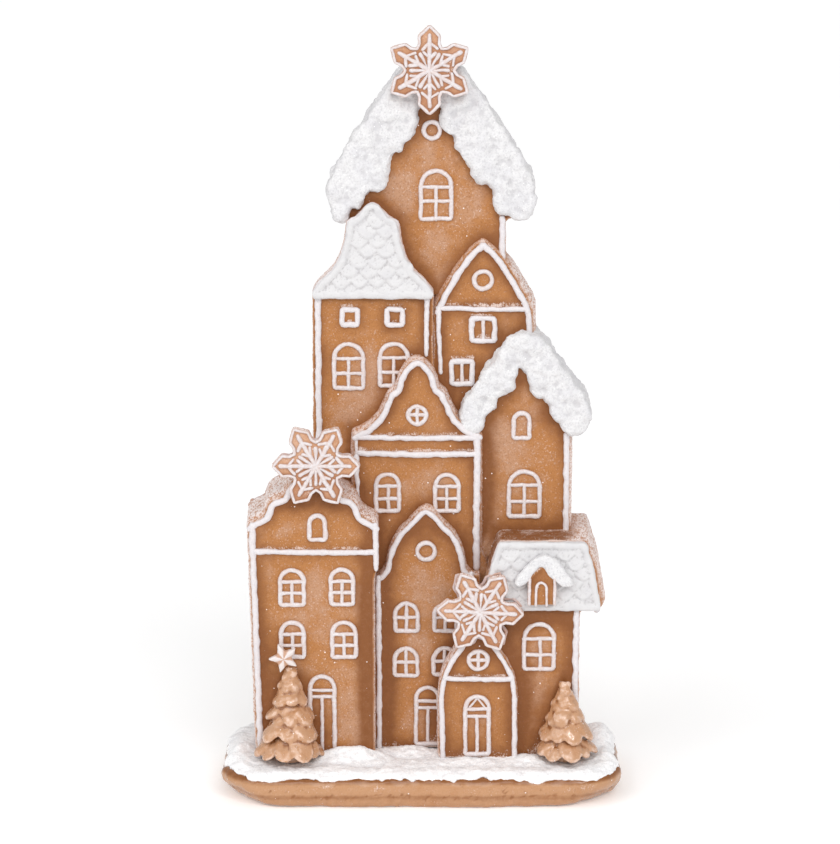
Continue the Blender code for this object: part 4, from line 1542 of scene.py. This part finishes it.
# The snow's piles: middle's X and Y, spread along X and Y, and height, in millimetres.
PILES = (
    (-42, -25, 13, 6, 7.0),
    (-28, -22, 10, 7, 3.5),
    (-8, -12, 14, 6, 3.0),
    (97, 8, 9, 18, 9.0),
    (99, -22, 5, 8, 3.0),
    (-98, -14, 6, 14, 4.0),
    (56, -26, 8, 7, 3.5),
    (20, -28, 20, 5, 1.2),
)
AROUND, ACROSS = 320, 70  # points round the tray's snow, and from its middle to its rim
TRAY_CORNER = 27 * MM
SNOW_UNDERSIDE = 15 * MM


def pile(place):
    """How much higher the snow lies at a place."""
    height = 0.0
    for x, y, wide, deep, tall in PILES:
        away = ((place.x / MM - x) / wide) ** 2 + ((place.y / MM - y) / deep) ** 2
        height += tall * math.exp(-away)
    return height * MM


def tray_reach(ray):
    """How far the tray's rounded outline lies from its middle, along the ray."""
    low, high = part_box("tray")
    half_x, half_y = (high.x - low.x) / 2, (high.y - low.y) / 2
    inner = Vector((half_x - TRAY_CORNER, half_y - TRAY_CORNER))
    spot = Vector((abs(ray.x), abs(ray.y)))
    reach = min(half_x / max(spot.x, 1e-6), half_y / max(spot.y, 1e-6))
    edge = spot * reach
    if edge.x <= inner.x or edge.y <= inner.y:
        return reach
    along = spot.dot(inner)
    return along + math.sqrt(max(along**2 - inner.length_squared + TRAY_CORNER**2, 0))


def ripple(ray, scale, layer):
    """A chance number between -1 and 1 that changes softly round the tray."""
    return noise.noise(Vector((ray.x * scale, ray.y * scale, layer)))


def snow_points():
    """The sheet of snow as rings from its middle out, then its hanging lip and its tucked underside."""
    top = FLOOR_MM * MM
    turns = [2 * math.pi * i / AROUND for i in range(AROUND)]
    rays = [Vector((math.cos(turn), math.sin(turn))) for turn in turns]
    reaches = [tray_reach(ray) for ray in rays]
    edges = []
    for ray, reach in zip(rays, reaches):
        wave = ripple(ray, 4, 2.0) + 0.6 * ripple(ray, 11, 5.0) + 0.5 * ripple(ray, 26, 8.0)
        edges.append(reach - 1.6 * MM + 2.6 * MM * wave)
    points = []
    for ring in range(ACROSS + 1):
        share = ring / ACROSS
        for ray, edge in zip(rays, edges):
            place = ray * edge * share
            droop = 1 - min(edge * (1 - share) / (9 * MM), 1)
            z = top - 0.4 * MM - 3.0 * MM * droop**2.2
            points.append(Vector((place.x, place.y, z + pile(place))))
    for ray, rim in zip(rays, points[-AROUND:]):
        lip = Vector((rim.x, rim.y)) - ray * 0.6 * MM
        hang = 2.5 + 4.2 * ripple(ray, 9, 3) + 3 * ripple(ray, 25, 6)
        points.append(Vector((lip.x, lip.y, rim.z - hang * MM)))
    for ray, reach in zip(rays, reaches):
        tuck = ray * (reach - 12 * MM)
        points.append(Vector((tuck.x, tuck.y, SNOW_UNDERSIDE)))
    return [*points, Vector((0, 0, SNOW_UNDERSIDE))]


def snow_faces():
    """The faces between the sheet's rings, and those that close its underside."""
    faces = []
    for ring in range(ACROSS + 2):
        near, far = ring * AROUND, (ring + 1) * AROUND
        for i in range(AROUND):
            n = (i + 1) % AROUND
            faces.append((near + i, far + i, far + n, near + n))
    last = (ACROSS + 2) * AROUND
    base = last + AROUND
    for i in range(AROUND):
        faces.append((last + (i + 1) % AROUND, last + i, base))
    return faces


def make_tray_snow():
    """Snow over the tray: a lumpy sheet that piles up at the walls and hangs unevenly over the rim."""
    snow = new_object("tray_snow_spread", snow_points(), snow_faces())
    bm = bmesh.new()
    bm.from_mesh(snow.data)
    bmesh.ops.remove_doubles(bm, verts=bm.verts, dist=0.01 * MM)
    bmesh.ops.recalc_face_normals(bm, faces=bm.faces)
    bm.to_mesh(snow.data)
    bm.free()
    soften(snow, 1.15 * MM, 3)
    roughen(snow, (10 * MM, 2.4 * MM), (3.6 * MM, 1.5 * MM), (1.6 * MM, 0.7 * MM))
    store_hollows(snow, 0.5 * MM, 8)
    drift = material("tray_drift", snow_material, icing().drift, 0.5)
    return finish_piece(snow, drift, "snow_icing", "tray_snow")


# ---------------------------------------------------------------- loose sugar

# An eight-sided grain: its corners and its sides.
GRAIN = np.array([(1, 0, 0), (0, 1, 0), (-1, 0, 0), (0, -1, 0), (0, 0, 1), (0, 0, -1)], float)
GRAIN_SIDES = ((0, 1, 4), (1, 2, 4), (2, 3, 4), (3, 0, 4), (1, 0, 5), (2, 1, 5), (3, 2, 5), (0, 3, 5))


def surface_spots(obj, count, rng):
    """Random places on the object's surface, more of them where dust lies, with the way each faces."""
    mesh = obj.data
    mesh.calc_loop_triangles()
    corners = np.empty(len(mesh.loop_triangles) * 3, np.int32)
    mesh.loop_triangles.foreach_get("vertices", corners)
    corners = corners.reshape(-1, 3)
    points = points_of(obj)
    dust = np.full(len(points), 0.15)
    if "dust" in mesh.attributes:
        kept = np.empty(len(points), np.float32)
        mesh.attributes["dust"].data.foreach_get("value", kept)
        dust = 0.12 + kept
    a, b, c = (points[corners[:, k]] for k in range(3))
    across = np.cross(b - a, c - a)
    area = np.linalg.norm(across, axis=1)
    facing = across / np.maximum(area, 1e-12)[:, None]
    shown = (facing[:, 1] < -0.3) | (facing[:, 2] > 0.3)
    beneath = facing[:, 2] <= -0.7
    weight = area * dust[corners].mean(axis=1) * np.where(shown, 1, 0.35) * ~beneath
    chosen = rng.choice(len(corners), size=count, p=weight / weight.sum())
    u, v = rng.random(count), rng.random(count)
    flip = u + v > 1
    u, v = np.where(flip, 1 - u, u), np.where(flip, 1 - v, v)
    places = a[chosen] + (b - a)[chosen] * u[:, None] + (c - a)[chosen] * v[:, None]
    return zip(places, facing[chosen])


def scatter_sugar():
    """Loose sugar crystals over the biscuit, as one mesh of small eight-sided grains."""
    look = bpy.context.scene.gingerbread_sugar
    rng = np.random.default_rng(look.seed)
    hosts = [o for o in bpy.data.objects if o.name.endswith(("_baked", "_glazed"))]
    hosts.sort(key=lambda o: o.name)
    share = np.array([len(o.data.vertices) for o in hosts], float)
    share /= share.sum()
    points, faces = [], []
    for host, part in zip(hosts, share):
        for place, out in surface_spots(host, max(1, int(look.count * part)), rng):
            turn = np.linalg.qr(rng.normal(size=(3, 3)))[0]
            size = look.size / 2 * (0.45 + 0.55 * rng.random() ** 2)
            grain = (GRAIN * (size * rng.uniform(0.7, 1.2, 3))) @ turn + place + out * size * 0.35
            first = len(points)
            points.extend(grain)
            faces.extend((a + first, b + first, c + first) for a, b, c in GRAIN_SIDES)
    grains = new_object("sugar_crystals", points, faces)
    finish_piece(grains, material("sugar", sugar_material), "icing")
    grains.data.shade_flat()
    return grains


# ---------------------------------------------------------------- stage

FLOOR_RADIUS = 30
FLOOR_GLOW = 0.18  # evens out the floor's shade
PAPER = ((0.95, 0.95, 0.95), (0.97, 0.97, 0.97))
KEY_FROM = (0.4, -1.6, 1.35)
FILL_FROM = (-1.2, -0.8, 1.0)
GLEAMS = {"gleam_left": ((-0.5, -1.2, 0.9), 0.25), "gleam_right": ((0.6, -1.0, 0.8), 0.15)}


def aim(obj, target):
    obj.rotation_euler = (Vector(target) - obj.location).to_track_quat("-Z", "Y").to_euler()


def add_lamp(name, kind, place, target, **settings):
    lamp = bpy.data.lights.new(name, kind)
    for key, value in settings.items():
        setattr(lamp, key, value)
    made = link_object(name, lamp)
    made.location = place
    aim(made, target)


def white_world(strength):
    """An even white light all round, seen as plain white."""
    world = bpy.data.worlds.new("studio_white")
    world.use_nodes = True
    w = Wiring(world.node_tree)
    seen = w.node("ShaderNodeLightPath").outputs["Is Camera Ray"]
    background = world.node_tree.nodes["Background"]
    background.inputs["Color"].default_value = (1, 1, 1, 1)
    w.feed(background.inputs["Strength"], w.spread(seen, 0, 1, strength, 1))
    return world


def make_floor(height):
    bm = bmesh.new()
    bmesh.ops.create_circle(bm, cap_ends=True, segments=96, radius=FLOOR_RADIUS)
    floor = from_bmesh("studio_floor", bm)
    floor.location.z = height
    made, w, shader = new_material("studio_paper")
    w.feed(shader.inputs["Base Color"], w.mix(w.noise(0.2, 2), *PAPER))
    shader.inputs["Roughness"].default_value = 0.9
    shader.inputs["Emission Color"].default_value = (1, 1, 1, 1)
    shader.inputs["Emission Strength"].default_value = FLOOR_GLOW
    floor.data.materials.append(made)
    floor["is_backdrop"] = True


def add_camera(look):
    lens = bpy.data.cameras.new("front_camera")
    lens.lens = look.lens
    lens.clip_end = 100
    camera = link_object("front_camera", lens)
    target = Vector((look.aim_side, 0, look.aim_height))
    back_off = Vector((0, -math.cos(look.pitch), math.sin(look.pitch))) * look.distance
    camera.location = target + back_off
    aim(camera, target)
    bpy.context.scene.camera = camera


def make_stage():
    scene = bpy.context.scene
    look = scene.gingerbread_stage
    low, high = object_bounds()
    make_floor(low[2] - 0.2 * MM)
    scene.world = white_world(look.sky)
    add_lamp("broad_key", "SUN", KEY_FROM, (0, 0, 0), energy=look.key, angle=look.key_spread)
    add_lamp("soft_fill", "SUN", FILL_FROM, (0, 0, 0), energy=look.fill, angle=look.key_spread)
    for name, (place, size) in GLEAMS.items():
        add_lamp(name, "AREA", place, (0, 0, high[2] / 2), energy=look.gleam, size=size)
    add_camera(look)
    scene.view_settings.view_transform = "Standard"


# ---------------------------------------------------------------- operators

class StageOperator(bpy.types.Operator):
    """Sets the pale floor, the soft lights and the camera"""

    bl_idname = "gingerbread.stage"
    bl_label = "Studio"

    def execute(self, context):
        make_stage()
        return {"FINISHED"}


class HousesOperator(bpy.types.Operator):
    """Bakes the ten houses and pipes their lines, windows and doors"""

    bl_idname = "gingerbread.houses"
    bl_label = "Houses"

    def execute(self, context):
        for number, make in enumerate(HOUSES):
            make_house(make(), 10 + 7 * number)
        return {"FINISHED"}


class TilesOperator(bpy.types.Operator):
    """Makes the two roofs of white icing tiles"""

    bl_idname = "gingerbread.tiles"
    bl_label = "Tiled roofs"

    def execute(self, context):
        slope = [(31.2, 261.6), (30.9, 266), (27.4, 270.8), (21, 276.8), (17, 283.3), (14.2, 292.3)]
        slope += [(12.9, 302), (8.4, 304.6), (5.4, 307.8), (3.4, 310.8), (0, 312.2)]
        tile_slab("tiles_upper_left", [(x - 25.6, z) for x, z in mirrored(slope)], 3.6, 4.4, 5)
        mansard = [(32.4, 100.2), (32.4, 103.6), (35.8, 122), (40.8, 137), (85.6, 137)]
        tile_slab("tiles_front_right", mansard + [(90.8, 122), (94, 103.6), (94, 100.2)], 3.4, 4.2, 9)
        return {"FINISHED"}


class RoofSnowOperator(bpy.types.Operator):
    """Heaps thick snow on the three roofs"""

    bl_idname = "gingerbread.roof_snow"
    bl_label = "Roof snow"

    def execute(self, context):
        snow_roof("snow_roof_top", top_snow(), 9, 0.9 * MM)
        snow_roof("snow_roof_tower", tower_snow(), 9, 0.9 * MM)
        snow_roof("snow_roof_dormer", dormer_snow(), 5, 0.5 * MM, 0.35)
        return {"FINISHED"}


class FlakesOperator(bpy.types.Operator):
    """Bakes and ices the three snowflake biscuits"""

    bl_idname = "gingerbread.flakes"
    bl_label = "Snowflakes"

    def execute(self, context):
        for number, node in enumerate(FLAKES):
            make_flake(node, 300 + 100 * number)
        return {"FINISHED"}


class TreesOperator(bpy.types.Operator):
    """Makes the two glazed fir trees and the star"""

    bl_idname = "gingerbread.trees"
    bl_label = "Fir trees and star"

    def execute(self, context):
        for node in TREES:
            make_tree(node)
        make_star()
        return {"FINISHED"}


class TrayOperator(bpy.types.Operator):
    """Bakes the tray and spreads its snow"""

    bl_idname = "gingerbread.tray"
    bl_label = "Tray"

    def execute(self, context):
        make_tray()
        make_tray_snow()
        return {"FINISHED"}


class SugarOperator(bpy.types.Operator):
    """Scatters loose sugar crystals over the biscuit"""

    bl_idname = "gingerbread.sugar"
    bl_label = "Loose sugar"

    def execute(self, context):
        scatter_sugar()
        return {"FINISHED"}


OPERATORS = (
    StageOperator,
    HousesOperator,
    TilesOperator,
    RoofSnowOperator,
    FlakesOperator,
    TreesOperator,
    TrayOperator,
    SugarOperator,
)
SETTINGS = {
    "gingerbread_biscuit": BiscuitSettings,
    "gingerbread_icing": IcingSettings,
    "gingerbread_sugar": SugarSettings,
    "gingerbread_stage": StageSettings,
}


class GingerbreadPanel(bpy.types.Panel):
    """Settings and steps of the gingerbread tower"""

    bl_idname = "VIEW3D_PT_gingerbread"
    bl_label = "Gingerbread Tower"
    bl_space_type = "VIEW_3D"
    bl_region_type = "UI"
    bl_category = "Gingerbread"

    def draw(self, context):
        for name, group in SETTINGS.items():
            box = self.layout.box()
            box.label(text=name.split("_")[1].title())
            for field in group.__annotations__:
                box.prop(getattr(context.scene, name), field)
        for operator in OPERATORS:
            self.layout.operator(operator.bl_idname)


def register():
    for made in (*SETTINGS.values(), *OPERATORS, GingerbreadPanel):
        bpy.utils.register_class(made)
    for name, group in SETTINGS.items():
        setattr(bpy.types.Scene, name, PointerProperty(type=group))


def unregister():
    for name in SETTINGS:
        delattr(bpy.types.Scene, name)
    for made in reversed((*SETTINGS.values(), *OPERATORS, GingerbreadPanel)):
        bpy.utils.unregister_class(made)


def main():
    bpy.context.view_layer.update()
    register()
    bpy.ops.gingerbread.stage()
    bpy.ops.gingerbread.houses()
    bpy.ops.gingerbread.tiles()
    bpy.ops.gingerbread.roof_snow()
    bpy.ops.gingerbread.flakes()
    bpy.ops.gingerbread.trees()
    bpy.ops.gingerbread.tray()
    bpy.ops.gingerbread.sugar()


if __name__ == "__main__":
    main()
